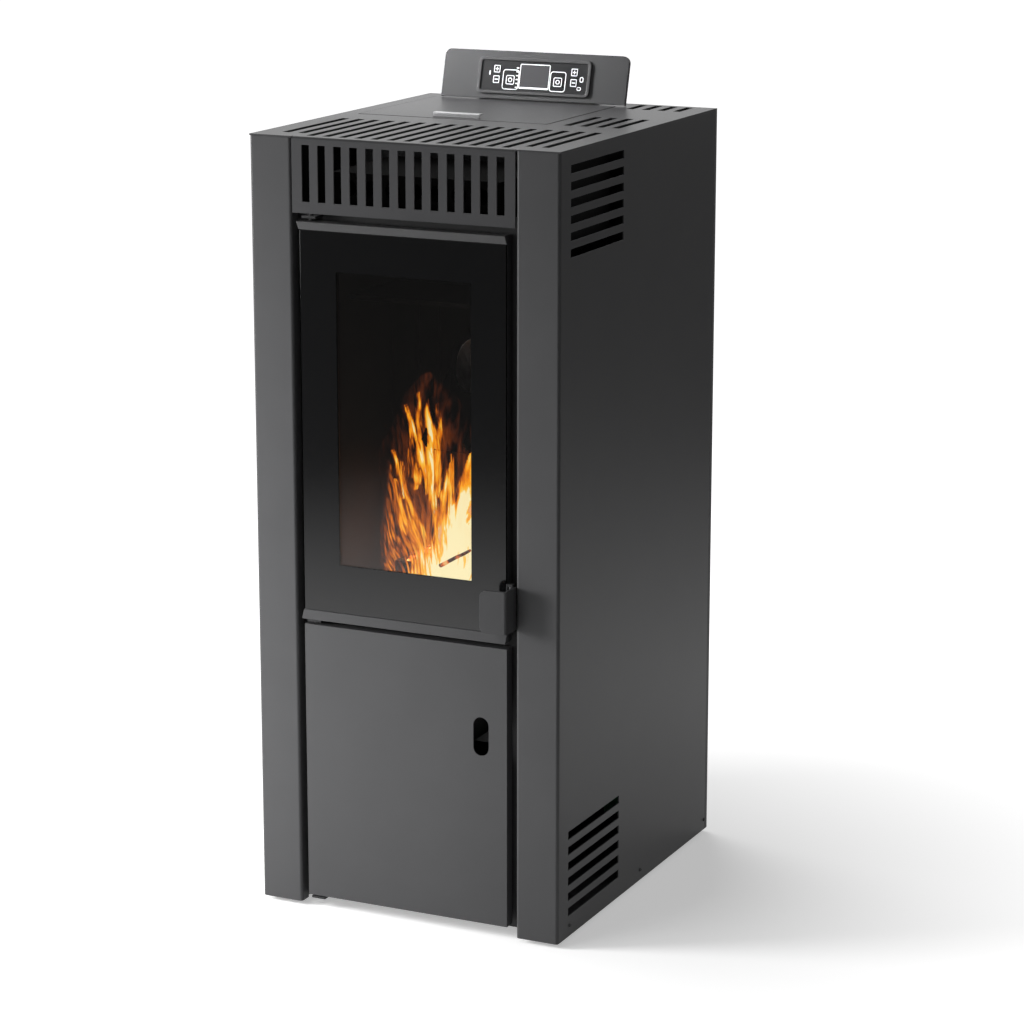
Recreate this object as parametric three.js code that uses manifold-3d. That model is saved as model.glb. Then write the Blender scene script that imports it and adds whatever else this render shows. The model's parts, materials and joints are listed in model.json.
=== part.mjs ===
// A small pellet stove: a folded sheet-steel case on four feet, with a glass fire door, a service
// door, a pellet hopper under a top lid and a leaning control console.
// Millimetres, +Z up, front towards -Y. Every piece is drawn in the case's own coordinates:
// x from the middle of the case, y back from the front face, z up from the lower edge of the side
// panels. The last group lifts the case onto its feet and centres it on its whole depth.

import * as THREE from 'three';
import { mergeVertices } from 'three/addons/utils/BufferGeometryUtils.js';
import Module from 'manifold-3d';

// ---------------------------------------------------------------- sizes: case
const caseWidth = 420;
const caseDepth = 494;
const caseHeight = 990;
const sheet = 2;              // sheet steel of the case
const fit = 0.3;              // clearance of pieces that are seated on or in each other
const bend = 4;               // outer radius of a fold
const footLift = 6;           // side panels above the floor
const pillarWidth = 57.5;     // front face of a side panel
const pillarReturn = 18;      // fold that runs back beside the doors
const rearFlange = 8;         // depth of the rear panel's folded edge
const footRadius = 18;
const footStud = 4;
const footBevel = 2;
const footInset = 34;         // from the case sides to a foot's middle
const basePlate = 3;
const baseUnderside = 14;
const baseSetback = 25;       // from the case front to the base plate
const baseFlangeDrop = 10;

// ---------------------------------------------------------------- sizes: louvres and grille
const grilleEdge = 20.5;      // pillar's inner edge to the outermost grille slot's middle
const slotWidth = 10;
const topSlots = 17;
const longTopSlots = 13;      // the middle ones run nearer to the front fold
const slotFront = 12;         // front edge to a long slot
const slotSetback = 31;       // front edge to a slot above a pillar
const slotRear = 189;         // front edge to the far end of the front slots
const sideStripSlots = 4;
const sideStripEdge = 34;     // case side to the outermost slot of the side strip
const sideStripFront = [239, 337];
const sideStripRear = [58, 10];   // from the case rear
const grilleHeight = 94;
const grilleGap = 1.3;        // grille to the pillars' folds
const grilleSlots = 13;
const grilleSlotWidth = 10.5;
const grilleSlotTop = 10;     // below the top of the case
const grilleSlotBottom = 80;
const louvreFront = 31;
const louvreLength = 157.5;
const louvreHeight = 10.5;
const louvrePitch = 20.15;
const louvres = 6;
const louvreTop = 19;         // top of the case to the upper group
const louvreBottom = 27.5;    // lower edge of the case to the lower group
const rearLouvreX = [-160, -40];
const rearLouvreBottom = 220;

// ---------------------------------------------------------------- sizes: doors
const doorLeft = 10;          // gap from the left pillar to the doors
const doorRight = 12.5;       // gap from the right pillar to the doors
const doorGap = 9;            // gap from the grille to the glass door
const doorSplit = 8;          // gap between the two doors
const lowerDoorTop = 374;
const lowerDoorBottom = 12;
const lowerDoorDepth = 16;
const glassThickness = 4;
const stripHeight = 11;
const stripProud = 6;         // how far a glazing strip stands out of the glass
const stripLip = 1;
const stripEdge = 0.8;         // strip's inner edge in front of the glass
const stripOverhang = 0.5;
const doorFrameDepth = 12;
const doorFrameWall = 3;
const windowWidth = 184;      // clear part of the glass
const windowBottom = 455;
const windowDrop = 164;       // top of the case to the clear part
const windowBorder = 6;       // printed border over the frame's edge
const hingeInset = 12;        // door's left edge to the hinge line
const hingeDepth = 10;        // front face to the hinge line
const hingePin = 3;
const hingePinReach = 14;     // pin length inside a door
const hingeBracket = 3;
const hingeBracketWidth = 19;
const hingeBracketNose = 7;    // bracket's front edge ahead of the hinge line
const hingeBracketDrop = 2.5;  // service door to the bottom bracket
const hingePinHead = 2;
const gasketWidth = 5;
const gasketCorner = 4;
const gasketInset = 7;        // gasket's inner edge outside the fire opening
const fingerSlotWidth = 21;
const fingerSlotHeight = 50;
const fingerSlotEdge = 35.5;  // door's right edge to the slot's middle
const fingerSlotHeightAt = 257.5;
const handleSheet = 3;
const handleHeight = 54;
const handleBottom = 400;
const handleReach = 34;       // width of the front plate
const handleStand = 23;       // free depth behind the front plate
const handleFlare = 4;        // front plate's free edge stands out further by this
const handleGap = 1.5;        // handle to the pillar's fold
const handlePivot = 3;        // depth of the handle's pin
const handlePin = 1.5;
const handleBarrel = 3;
const handleEar = 3;
const latchSheet = 3;
const latchHeight = 14;
const latchHook = 4;          // tongue's length and hook behind the inner frame
const latchSwing = 9;         // free space left of the latch tongue
const handleCorner = 8;
const handleBend = 3;
const handleArm = 1.8;        // arm of the handle's ears, out from the door frame
const magnetSize = 13;
const magnetHeight = 26;

// ---------------------------------------------------------------- sizes: inner frame and fire chamber
const frameFace = 24;         // depth of the inner front frame
const frameDrop = 85;         // top of the case to the frame
const serviceWidth = 250;
const serviceBottom = 30;
const serviceTop = 362;
const fireWall = 3;
const fireWidth = 224;
const fireDepth = 171;
const fireFloor = 399;
const fireDrop = 127;         // top of the case to the chamber
const backPlate = 10.7;
const backPlateDrop = 210;    // top of the case to the back plate
const backRibs = [-75, -45, 45, 75];
const backRibWidth = 6;
const backRibProud = 3;
const backRibBottom = 490;
const backRibDrop = 20;       // top of the back plate to its ribs
const baffleSheet = 6;
const baffleFront = 70;
const potWidth = 100;
const potDepth = 90;
const potHeight = 51;
const potWall = 5;
const potFront = 70;          // case front to the burn pot
const potSlots = 7;
const potSlotWidth = 5;
const ashHoleMargin = 8;      // burn pot's edge to the ash hole in the floor
const igniterRadius = 6;
const igniterCollar = 10;
const igniterHeight = 26;     // above the chamber floor
const igniterTail = 18;       // length behind the chamber

// ---------------------------------------------------------------- sizes: smoke path
const exchangerHeight = 78;
const exchangerFront = 34;
const exchangerWall = 2;
const exchangerTubes = 7;
const exchangerTubePitch = 30;
const exchangerTubeRadius = 12;
const exchangerTubeWall = 1.5;
const exchangerTubeDrop = 19; // top of the box to the tubes' middle
const tubeSides = 10;
const gasHoleWidth = 120;
const gasHoleDepth = 100;
const smokeDuctWidth = 70;
const smokeDuctDepth = 38;
const smokeDuctX = -77;
const ductWall = 2;
const smokeFanHeight = 125;    // above the side panels' lower edge, as for the flue
const smokeFanRadius = 70;
const smokeFanDepth = 60;
const smokeFanInlet = 30;
const impellerRadius = 56;
const impellerDepth = 34;
const impellerBlades = 8;
const impellerSheet = 2;
const impellerHub = 14;
const impellerClear = 8;
const shaftEnd = 14;          // shaft end inside a fan motor
const shaftBore = 16;
const motorNose = 8;
const motorShaft = 4;
const smokeMotorRadius = 32;
const smokeMotorLength = 52;
const flueX = 25;
const flueRadius = 40;
const flueWall = 2;
const stubReach = 25;         // pipes behind the rear panel
const intakeX = 80;
const intakeHeight = 430;
const intakeRadius = 25;
const intakeWall = 2;

// ---------------------------------------------------------------- sizes: pellet feed
const lidRear = 38;           // case rear to the lid opening
const lidFront = 239;         // case front to the lid opening
const lidLeft = 24;           // case side to the lid opening
const lidRight = 127;         // lid opening to the case's right side, where the side strip is
const lidGap = 1.5;
const lidRearGap = 3;         // room for the lid's rear edge as it turns down
const lidSheet = 2.3;
const lidPullWidth = 66;
const lidPullSetback = 12;
const lidPullRise = 5.7;
const lidPullCurl = 10;
const lidPullSheet = 1.7;
const lidPinRadius = 2.5;
const lidPinSetback = 9;      // rear edge of the opening to the hinge pin
const lidPinDrop = 7;         // hinge pin below the top of the case
const lidEar = 6;
const lidEarInset = 9;
const lidEarRadius = 5.5;
const pinTab = 3;
const pinTabOut = 3;          // pin tabs outside the lid opening
const pinTabWidth = 16;
const sealThickness = 1.7;
const sealWidth = 14;
const hopperWall = 2;
const hopperRear = 24;        // rear edge of the opening to the hopper's rear wall
const hopperFrontGap = 4;
const neckWidth = 64;
const neckDepth = 50;
const neckSetback = 139;      // neck's front to the case rear
const neckWall = 4;
const augerAngle = THREE.MathUtils.degToRad(50);
const augerFootSetback = 90;  // auger's lower end to the case rear
const augerFootDrop = 558;    // top of the case to the auger's lower end
const augerRadius = 30;
const augerWall = 3;
const augerEndRun = 60;       // drawn past the chamber's wall, where the tube is cut off
const augerHopperGap = 3;
const screwRadius = 25;
const screwShaft = 7;
const screwPitch = 45;
const screwFlight = 3;
const screwSteps = 9;         // flight sections in one turn
const screwClear = 12;        // screw's ends inside the tube
const gearboxWidth = 70;
const gearboxHeight = 60;
const gearboxLength = 40;
const gearboxBore = 15;
const gearMotorRadius = 25;
const gearMotorLength = 48;
const chuteWidth = 60;
const chuteLength = 88;
const chuteSide = 25;
const chuteSheet = 2.5;
const chuteAngle = THREE.MathUtils.degToRad(45);

// ---------------------------------------------------------------- sizes: ash drawer and room fan
const drawerWidth = 200;
const drawerDepth = 112;
const drawerHeight = 56;
const drawerFront = 70;
const drawerSheet = 2;
const drawerRun = 1;          // side clearance of the drawer
const drawerPull = 14;
const drawerPullWidth = 70;
const drawerPullHeight = 10;
const sleeveFloor = 302;
const sleeveSheet = 2;
const roomFanY = 130;
const roomFanZ = 95;
const roomFanLeft = -78;
const roomFanLength = 166;
const roomFanHalf = 42;
const roomFanSheet = 2;
const roomFanLip = 3;
const rotorRadius = 30;
const rotorBlades = 10;
const rotorBladeDepth = 8;
const rotorBladeThickness = 1.5;
const rotorDisc = 2;
const rotorClear = 4;
const roomMotorRadius = 28;
const roomMotorLength = 45;

// ---------------------------------------------------------------- sizes: console and electrics
const consoleLean = THREE.MathUtils.degToRad(15);
const consoleSetback = 38;    // console's lower edge to the case rear
const consoleLeft = 35;       // case side to the console
const consoleRight = 116;
const consoleHeight = 66.5;
const consoleLift = 2;
const consoleCorner = 9;
const consoleRim = 6;
const bezelLeft = -121.5;
const bezelWidth = 163.5;
const bezelBottom = 8.5;
const bezelHeight = 48.5;
const bezelCorner = 7;
const bezelProud = 3.2;
const bezelMargin = 4;
const bezelFloor = 1.2;       // keypad face above the console sheet
const displayLeft = -61;
const displayWidth = 44;
const displayBottom = 16.3;
const displayHeight = 33.4;
const windowProud = 0.5;      // display pane above the keypad face
const smallButton = [10.5, 11.5];
const largeButton = [14, 14];
const buttonPlaces = {
  power_up_button: [-94.5, 41.5, smallButton],
  power_down_button: [-94.5, 27.5, smallButton],
  menu_button: [-74, 27.5, largeButton],
  on_off_button: [-4.5, 27.5, largeButton],
  heat_up_button: [18.5, 41.5, smallButton],
  heat_down_button: [18.5, 27.5, smallButton],
};
const buttonProud = 0.8;
const buttonTravel = 0.8;
const buttonCorner = 1.5;
const buttonStem = 3;
const boardThickness = 1.6;
const boardDepth = 3;
const chipHeight = 8;
const chipInset = 6;
const housingDepth = 20;
const housingWall = 2;
const housingMargin = 6;
const housingBottom = 7;
const inletSide = 60;         // case side to the inlet's middle
const inletZ = 64;
const inletWidth = 50;
const inletHeight = 60;
const inletFlange = 4;
const inletDepth = 22;
const inletPlate = 2.5;
const socketWidth = 24;
const socketHeight = 17;
const socketDepth = 14;
const socketDrop = 12;
const socketPin = [2, 5];
const socketPinPitch = 7;
const socketPinSetback = 3;
const rockerWidth = 13;
const rockerHeight = 20;
const rockerDepth = 8;
const rockerProud = 1.5;
const rockerRise = 15;
const rockerBack = 3;
const rockerDish = 0.6;
const rockerCorner = 1;
const rockerSwing = 1.4;      // free space above and below the rocker
const boardWidth = 160;
const boardHeight = 180;
const boardY = 250;
const boardZ = 70;
const boardStand = 16;
const boardSpacer = 4;
const boardSpacerInset = 8;
// transformer, heat sink, two relays, chip and terminal row: [across, width, up, height, depth]
const boardParts = [
  [14, 44, 16, 38, 34],
  [74, 60, 20, 8, 26],
  [16, 22, 80, 30, 18],
  [46, 22, 80, 30, 18],
  [90, 36, 84, 14, 9],
  [20, 110, 150, 12, 12],
];

// ---------------------------------------------------------------- derived places
const halfWidth = caseWidth / 2;
const innerSide = halfWidth - sheet;
const inletX = halfWidth - inletSide;
const pillarEdge = halfWidth - pillarWidth;
const slotPitch = 2 * (pillarEdge - grilleEdge) / (grilleSlots - 1);
const coverUnderside = caseHeight - sheet;
const sideStripRuns = [sideStripFront, sideStripRear.map((inset) => caseDepth - inset)];
const panelRear = caseDepth - rearFlange;
const rearInner = caseDepth - sheet;
const baseTop = baseUnderside + basePlate;
const frameRear = frameFace + sheet;
const frameTop = caseHeight - frameDrop;
const windowTop = caseHeight - windowDrop;
const fireTop = caseHeight - fireDrop;
const backPlateTop = caseHeight - backPlateDrop;
const grilleBottom = caseHeight - grilleHeight;
const doorX = [-pillarEdge + doorLeft, pillarEdge - doorRight];
const glassDoorZ = [lowerDoorTop + doorSplit, grilleBottom - doorGap];
const frameFront = glassThickness + fit;
const frameBack = frameFront + doorFrameDepth;
const hinge = { x: doorX[0] + hingeInset, y: hingeDepth };
const fireRear = frameRear + fireDepth;
const fireBackOuter = fireRear + fireWall;
const fireShellTop = fireTop + fireWall;
const exchangerTop = fireShellTop + fit + exchangerHeight;
const backPlateFront = fireRear - fit - backPlate;
const lidX = [-halfWidth + lidLeft, halfWidth - lidRight];
const lidY = [lidFront, caseDepth - lidRear];
const lidPin = { y: lidY[1] - lidPinSetback, z: caseHeight - lidPinDrop };
const hopperX = [lidX[0] + lidGap + fit, lidX[1] - lidGap - fit];
const hopperY = [lidY[0] + hopperFrontGap, lidY[1] - hopperRear];
const sealZ = [coverUnderside - fit - sealThickness, coverUnderside - fit];
const hopperTop = sealZ[0] - fit;
const neckFront = caseDepth - neckSetback;
const augerFootY = caseDepth - augerFootSetback;
const augerFootZ = caseHeight - augerFootDrop;
const consoleFront = caseDepth - consoleSetback;
const axisHeight = (y) => augerFootZ + (augerFootY - y) * Math.tan(augerAngle);
const slopeLift = (augerRadius + augerHopperGap) / Math.cos(augerAngle);
const neckTop = axisHeight(neckFront) + slopeLift;
const funnelTop = axisHeight(hopperY[0]) + slopeLift;
const augerLength = (augerFootY - fireBackOuter) / Math.cos(augerAngle);
const gasPortZ = [
  fireShellTop + 3 * ductWall,
  exchangerTop - exchangerTubeDrop - exchangerTubeRadius - ductWall,
];
const ductX = [smokeDuctX - smokeDuctWidth / 2, smokeDuctX + smokeDuctWidth / 2];
const ductY = [fireBackOuter + fit, fireBackOuter + fit + smokeDuctDepth];
const smokeFanY = [ductY[1] + fit, ductY[1] + fit + smokeFanDepth];
const handleX = [pillarEdge - handleGap - handleSheet, pillarEdge - handleGap];
const handlePinX = handleX[1] - handleSheet - handleBarrel - fit - 0.2;
const frontReach = handleStand + handleSheet + handleFlare;
const totalDepth = frontReach + caseDepth + stubReach;

// ---------------------------------------------------------------- finishes
const finishes = {
  paint: { color: 0x55565a, roughness: 0.55, metalness: 0.35 },
  darkPaint: { color: 0x17181a, roughness: 0.6, metalness: 0.3 },
  glass: { color: 0x0b0b0d, roughness: 0.08, metalness: 0.0 },
  rubber: { color: 0x161616, roughness: 0.9, metalness: 0.0 },
  plastic: { color: 0x1c1d20, roughness: 0.4, metalness: 0.0 },
  button: { color: 0x3a3b3f, roughness: 0.45, metalness: 0.0 },
  rope: { color: 0x3c3b38, roughness: 1.0, metalness: 0.0 },
  zinc: { color: 0xa9abad, roughness: 0.35, metalness: 0.9 },
  castIron: { color: 0x2c2a29, roughness: 0.85, metalness: 0.4 },
  vermiculite: { color: 0xb49b78, roughness: 0.95, metalness: 0.0 },
  ceramic: { color: 0xd8d2c6, roughness: 0.6, metalness: 0.0 },
  board: { color: 0x1e5a36, roughness: 0.5, metalness: 0.0 },
};

// ---------------------------------------------------------------- solids
const wasm = await Module();
wasm.setup();

/** Turns a closed three.js geometry into a solid for joining and cutting. */
function toSolid(geometry) {
  const bare = geometry.clone();
  bare.deleteAttribute('normal');
  bare.deleteAttribute('uv');
  const merged = mergeVertices(bare);
  return new wasm.Manifold(new wasm.Mesh({
    numProp: 3,
    vertProperties: new Float32Array(merged.attributes.position.array),
    triVerts: new Uint32Array(merged.index.array),
  }));
}

/** Turns a solid back into a three.js geometry. */
function toGeometry(solid) {
  const mesh = solid.getMesh();
  const geometry = new THREE.BufferGeometry();
  geometry.setAttribute('position', new THREE.BufferAttribute(new Float32Array(mesh.vertProperties), 3));
  geometry.setIndex(new THREE.BufferAttribute(new Uint32Array(mesh.triVerts), 1));
  geometry.computeVertexNormals();
  return geometry;
}

const join = (...solids) => solids.reduce((sum, solid) => sum.add(solid));
const cut = (body, ...tools) => tools.reduce((rest, tool) => rest.subtract(tool), body);
const mid = ([low, high]) => (low + high) / 2;
const span = ([low, high]) => high - low;
const around = (centre, width) => [centre - width / 2, centre + width / 2];
const from = (low, length) => [low, low + length];

function blockGeometry(x, y, z) {
  const geometry = new THREE.BoxGeometry(span(x), span(y), span(z));
  return geometry.translate(mid(x), mid(y), mid(z));
}

/** A rectangular block between two x, two y and two z values. */
const block = (x, y, z) => toSolid(blockGeometry(x, y, z));

/** A round rod along an axis; `at` holds its other two coordinates in x, y, z order. */
function rod(axis, radius, run, at, sides = 20) {
  const geometry = new THREE.CylinderGeometry(radius, radius, span(run), sides);
  if (axis === 'x') {
    geometry.rotateZ(-Math.PI / 2).translate(mid(run), at[0], at[1]);
  } else if (axis === 'y') {
    geometry.translate(at[0], mid(run), at[1]);
  } else {
    geometry.rotateX(Math.PI / 2).translate(at[0], at[1], mid(run));
  }
  return toSolid(geometry);
}

/** A pipe: an outer rod less its bore. */
const pipe = (axis, radius, wall, run, at, sides = 24) =>
  cut(rod(axis, radius, run, at, sides), rod(axis, radius - wall, [run[0] - 1, run[1] + 1], at, sides));

/** An outline through corners [a, b, radius], with each radius drawn as an arc. */
function outline(corners, steps = 4) {
  const points = [];
  corners.forEach(([a, b, radius = 0], index) => {
    const corner = new THREE.Vector2(a, b);
    if (!radius) {
      points.push(corner);
      return;
    }
    const before = corners[(index + corners.length - 1) % corners.length];
    const after = corners[(index + 1) % corners.length];
    const toBefore = new THREE.Vector2(before[0] - a, before[1] - b).normalize();
    const toAfter = new THREE.Vector2(after[0] - a, after[1] - b).normalize();
    const half = Math.acos(THREE.MathUtils.clamp(toBefore.dot(toAfter), -1, 1)) / 2;
    const centre = toBefore.clone().add(toAfter).normalize();
    centre.multiplyScalar(radius / Math.sin(half)).add(corner);
    const start = toBefore.clone().multiplyScalar(radius / Math.tan(half)).add(corner).sub(centre);
    const end = toAfter.clone().multiplyScalar(radius / Math.tan(half)).add(corner).sub(centre);
    const turn = Math.atan2(start.cross(end), start.dot(end));
    for (let step = 0; step <= steps; step += 1) {
      const point = start.clone().rotateAround(new THREE.Vector2(), turn * step / steps);
      points.push(point.add(centre));
    }
  });
  return points;
}

/** A prism of an outline: in (x, y) along z, in (y, z) along x, or in (x, z) along y. */
function prism(axis, points, run) {
  const shape = new THREE.Shape(points);
  const geometry = new THREE.ExtrudeGeometry(shape, { depth: span(run), bevelEnabled: false });
  if (axis === 'x') {
    const turn = new THREE.Matrix4().makeBasis(
      new THREE.Vector3(0, 1, 0), new THREE.Vector3(0, 0, 1), new THREE.Vector3(1, 0, 0));
    geometry.applyMatrix4(turn).translate(run[0], 0, 0);
  } else if (axis === 'y') {
    geometry.rotateX(Math.PI / 2).translate(0, run[1], 0);
  } else {
    geometry.translate(0, 0, run[0]);
  }
  return toSolid(geometry);
}

/** Corners of a rectangle, each with the same radius. */
const rectangle = (a, b, radius = 0) =>
  [[a[0], b[0], radius], [a[1], b[0], radius], [a[1], b[1], radius], [a[0], b[1], radius]];

const grow = ([low, high], by) => [low - by, high + by];

const stove = new THREE.Group();
stove.position.set(0, -totalDepth / 2 + frontReach, footLift);

/** Adds one named piece with a material of its own. */
function piece(name, solid, finish, group = stove) {
  const mesh = new THREE.Mesh(toGeometry(solid), new THREE.MeshStandardMaterial(finishes[finish]));
  mesh.name = name;
  group.add(mesh);
}

// ---------------------------------------------------------------- case
/** Side panel: flat side, rounded front corner, pillar face and a fold beside the doors. */
function sidePanel(side) {
  const inner = bend - sheet;
  const plan = outline([
    [side * halfWidth, panelRear],
    [side * halfWidth, 0, bend],
    [side * pillarEdge, 0, bend],
    [side * pillarEdge, pillarReturn],
    [side * (pillarEdge + sheet), pillarReturn],
    [side * (pillarEdge + sheet), sheet, inner],
    [side * innerSide, sheet, inner],
    [side * innerSide, panelRear],
  ]);
  const panel = prism('z', plan, [0, coverUnderside]);
  const through = [halfWidth - 2 * sheet, halfWidth + sheet].map((x) => side * x).sort((a, b) => a - b);
  const slots = [];
  for (let row = 0; row < louvres; row += 1) {
    const y = from(louvreFront, louvreLength);
    slots.push(block(through, y, from(louvreBottom + row * louvrePitch, louvreHeight)));
    const top = caseHeight - louvreTop - row * louvrePitch;
    slots.push(block(through, y, [top - louvreHeight, top]));
  }
  return cut(panel, ...slots);
}

/** Top cover: flat plate with slots and the lid opening, folded down into the front grille. */
function topCover() {
  const grilleHalf = pillarEdge - grilleGap;
  const plate = block([-halfWidth, halfWidth], [bend + sheet, caseDepth], [coverUnderside, caseHeight]);
  const corners = [-1, 1].map((side) => {
    const x = [side * grilleHalf, side * halfWidth].sort((a, b) => a - b);
    return block(x, [0, bend + 2 * sheet], [coverUnderside, caseHeight]);
  });
  const fold = prism('x', outline([
    [0, grilleBottom],
    [0, caseHeight, bend],
    [bend + 2 * sheet, caseHeight],
    [bend + 2 * sheet, coverUnderside],
    [sheet, coverUnderside, bend - sheet],
    [sheet, grilleBottom],
  ]), [-grilleHalf, grilleHalf]);
  const tools = [];
  for (let index = 0; index < topSlots; index += 1) {
    const place = index - (topSlots - 1) / 2;
    const long = Math.abs(place) <= (longTopSlots - 1) / 2;
    const y = [long ? slotFront : slotSetback, slotRear];
    tools.push(block(around(place * slotPitch, slotWidth), y, grow([coverUnderside, caseHeight], 1)));
  }
  for (let index = 0; index < sideStripSlots; index += 1) {
    const x = around(halfWidth - sideStripEdge - index * slotPitch, slotWidth);
    sideStripRuns.forEach((run) => tools.push(block(x, run, grow([coverUnderside, caseHeight], 1))));
  }
  for (let index = 0; index < grilleSlots; index += 1) {
    const x = around((index - (grilleSlots - 1) / 2) * slotPitch, grilleSlotWidth);
    tools.push(block(x, [-1, sheet + 1], [caseHeight - grilleSlotBottom, caseHeight - grilleSlotTop]));
  }
  tools.push(block(lidX, lidY, grow([coverUnderside, caseHeight], 1)));
  const tabs = pinTabs().map((x) =>
    block(x, around(lidPin.y, pinTabWidth), [lidPin.z - lidEarRadius, coverUnderside + sheet / 2]));
  const bore = rod('x', lidPinRadius + fit / 2, grow(lidX, 20), [lidPin.y, lidPin.z]);
  return join(cut(join(plate, ...corners, fold), ...tools), ...tabs.map((tab) => cut(tab, bore)));
}

/** The two downward tabs of the cover that hold the lid's hinge pin. */
function pinTabs() {
  return [
    [lidX[0] - pinTabOut - pinTab, lidX[0] - pinTabOut],
    [lidX[1] + pinTabOut, lidX[1] + pinTabOut + pinTab],
  ];
}

/** Rear panel: a shallow tray with the pipe holes, the inlet cut-out and air slots. */
function rearPanel() {
  const plan = [
    [-halfWidth, panelRear + fit], [-halfWidth, caseDepth], [halfWidth, caseDepth],
    [halfWidth, panelRear + fit], [innerSide, panelRear + fit], [innerSide, rearInner],
    [-innerSide, rearInner], [-innerSide, panelRear + fit],
  ];
  const panel = prism('z', outline(plan), [0, coverUnderside - fit]);
  const y = grow([rearInner, caseDepth], 1);
  const tools = [
    rod('y', flueRadius + fit, y, [flueX, smokeFanHeight], 24),
    rod('y', intakeRadius + fit, y, [intakeX, intakeHeight], 24),
    block(around(inletX, inletWidth + 2 * fit), y, around(inletZ, inletHeight + 2 * fit)),
  ];
  for (let row = 0; row < louvres; row += 1) {
    tools.push(block(rearLouvreX, y, from(rearLouvreBottom + row * louvrePitch, louvreHeight)));
  }
  return cut(panel, ...tools);
}

/** Base plate with folded edges, and a hole for each foot's stud. */
function basePan() {
  const x = [-innerSide + fit, innerSide - fit];
  const y = [baseSetback, panelRear];
  const pan = join(
    block(x, y, [baseUnderside, baseTop]),
    block(x, from(baseSetback, basePlate), [baseUnderside - baseFlangeDrop, baseTop]),
    block(from(x[0], basePlate), y, [baseUnderside - baseFlangeDrop, baseTop]),
    block([x[1] - basePlate, x[1]], y, [baseUnderside - baseFlangeDrop, baseTop]),
  );
  return cut(pan, ...footPlaces().map(({ at }) =>
    rod('z', footStud + fit, [baseUnderside - 1, baseTop + 1], at, 16)));
}

function footPlaces() {
  const x = halfWidth - footInset;
  const y = [footInset + footRadius, caseDepth - footInset - footRadius];
  return [
    { name: 'foot_front_left', at: [-x, y[0]] },
    { name: 'foot_front_right', at: [x, y[0]] },
    { name: 'foot_rear_left', at: [-x, y[1]] },
    { name: 'foot_rear_right', at: [x, y[1]] },
  ];
}

/** A foot: round pad, collar under the base plate and a stud through it. */
function foot([x, y]) {
  const collar = baseUnderside - fit;
  const profile = [
    [0, -footLift], [footRadius - footBevel, -footLift], [footRadius, footBevel - footLift],
    [footRadius, 2 * footBevel], [footStud * 2, 3 * footBevel], [footStud * 2, collar],
    [footStud, collar], [footStud, baseTop + footStud], [0, baseTop + footStud],
  ].map(([radius, height]) => new THREE.Vector2(radius, height));
  const geometry = new THREE.LatheGeometry(profile, 16);
  geometry.rotateX(Math.PI / 2);
  return toSolid(geometry.translate(x, y, 0));
}

/** Inner front frame behind the doors, open to the fire chamber and the service space. */
function frontFrame() {
  const y = [frameFace, frameRear];
  const through = grow(y, 1);
  const plate = block([-innerSide + fit, innerSide - fit], y, [baseTop + fit, frameTop]);
  return cut(plate,
    block(around(0, fireWidth), through, [fireFloor, fireTop]),
    block(around(0, serviceWidth), through, [serviceBottom, serviceTop]),
    block([latchX[0] - latchSwing, pillarEdge - 1], through, grow(latchZ, latchHook)));
}

// ---------------------------------------------------------------- doors
/** The bracket plates of the doors, each with a welded pin on the hinge line. */
function hingeBracketSolid(z, pinRun, rear) {
  const plate = block(around(hinge.x, hingeBracketWidth), [hingeDepth - hingeBracketNose, rear - fit], z);
  return join(plate, rod('z', hingePin, pinRun, [hinge.x, hinge.y], 16));
}

function hingeBrackets() {
  const top = around(glassDoorZ[1] + (doorGap - 1) / 2, hingeBracket);
  const middle = around(lowerDoorTop + doorSplit / 2, hingeBracket);
  const bottom = from(lowerDoorBottom - hingeBracket - hingeBracketDrop, hingeBracket);
  const into = hingePinReach;
  const low = [bottom[0] - hingePinHead / 2, lowerDoorBottom + into];
  return {
    hinge_bracket_top: hingeBracketSolid(top, [glassDoorZ[1] - into, top[1] + hingePinHead], frameFace),
    hinge_bracket_middle: hingeBracketSolid(middle, [lowerDoorTop - into, glassDoorZ[0] + into], frameFace),
    hinge_bracket_bottom: hingeBracketSolid(bottom, low, baseSetback),
  };
}

/** Blind bores for the hinge pins in the ends of a door. */
function pinBores(z) {
  const depth = hingePinReach + fit;
  return [[z[0] - 1, z[0] + depth], [z[1] - depth, z[1] + 1]].map((run) =>
    rod('z', hingePin + fit, run, [hinge.x, hinge.y], 16));
}

const handleZ = from(handleBottom, handleHeight);
const handleEars = [from(handleZ[0] - fit - handleEar, handleEar), from(handleZ[1] + fit, handleEar)];
const latchX = around(handlePinX, latchSheet);
const latchZ = around(mid(handleZ), latchHeight);

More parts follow.
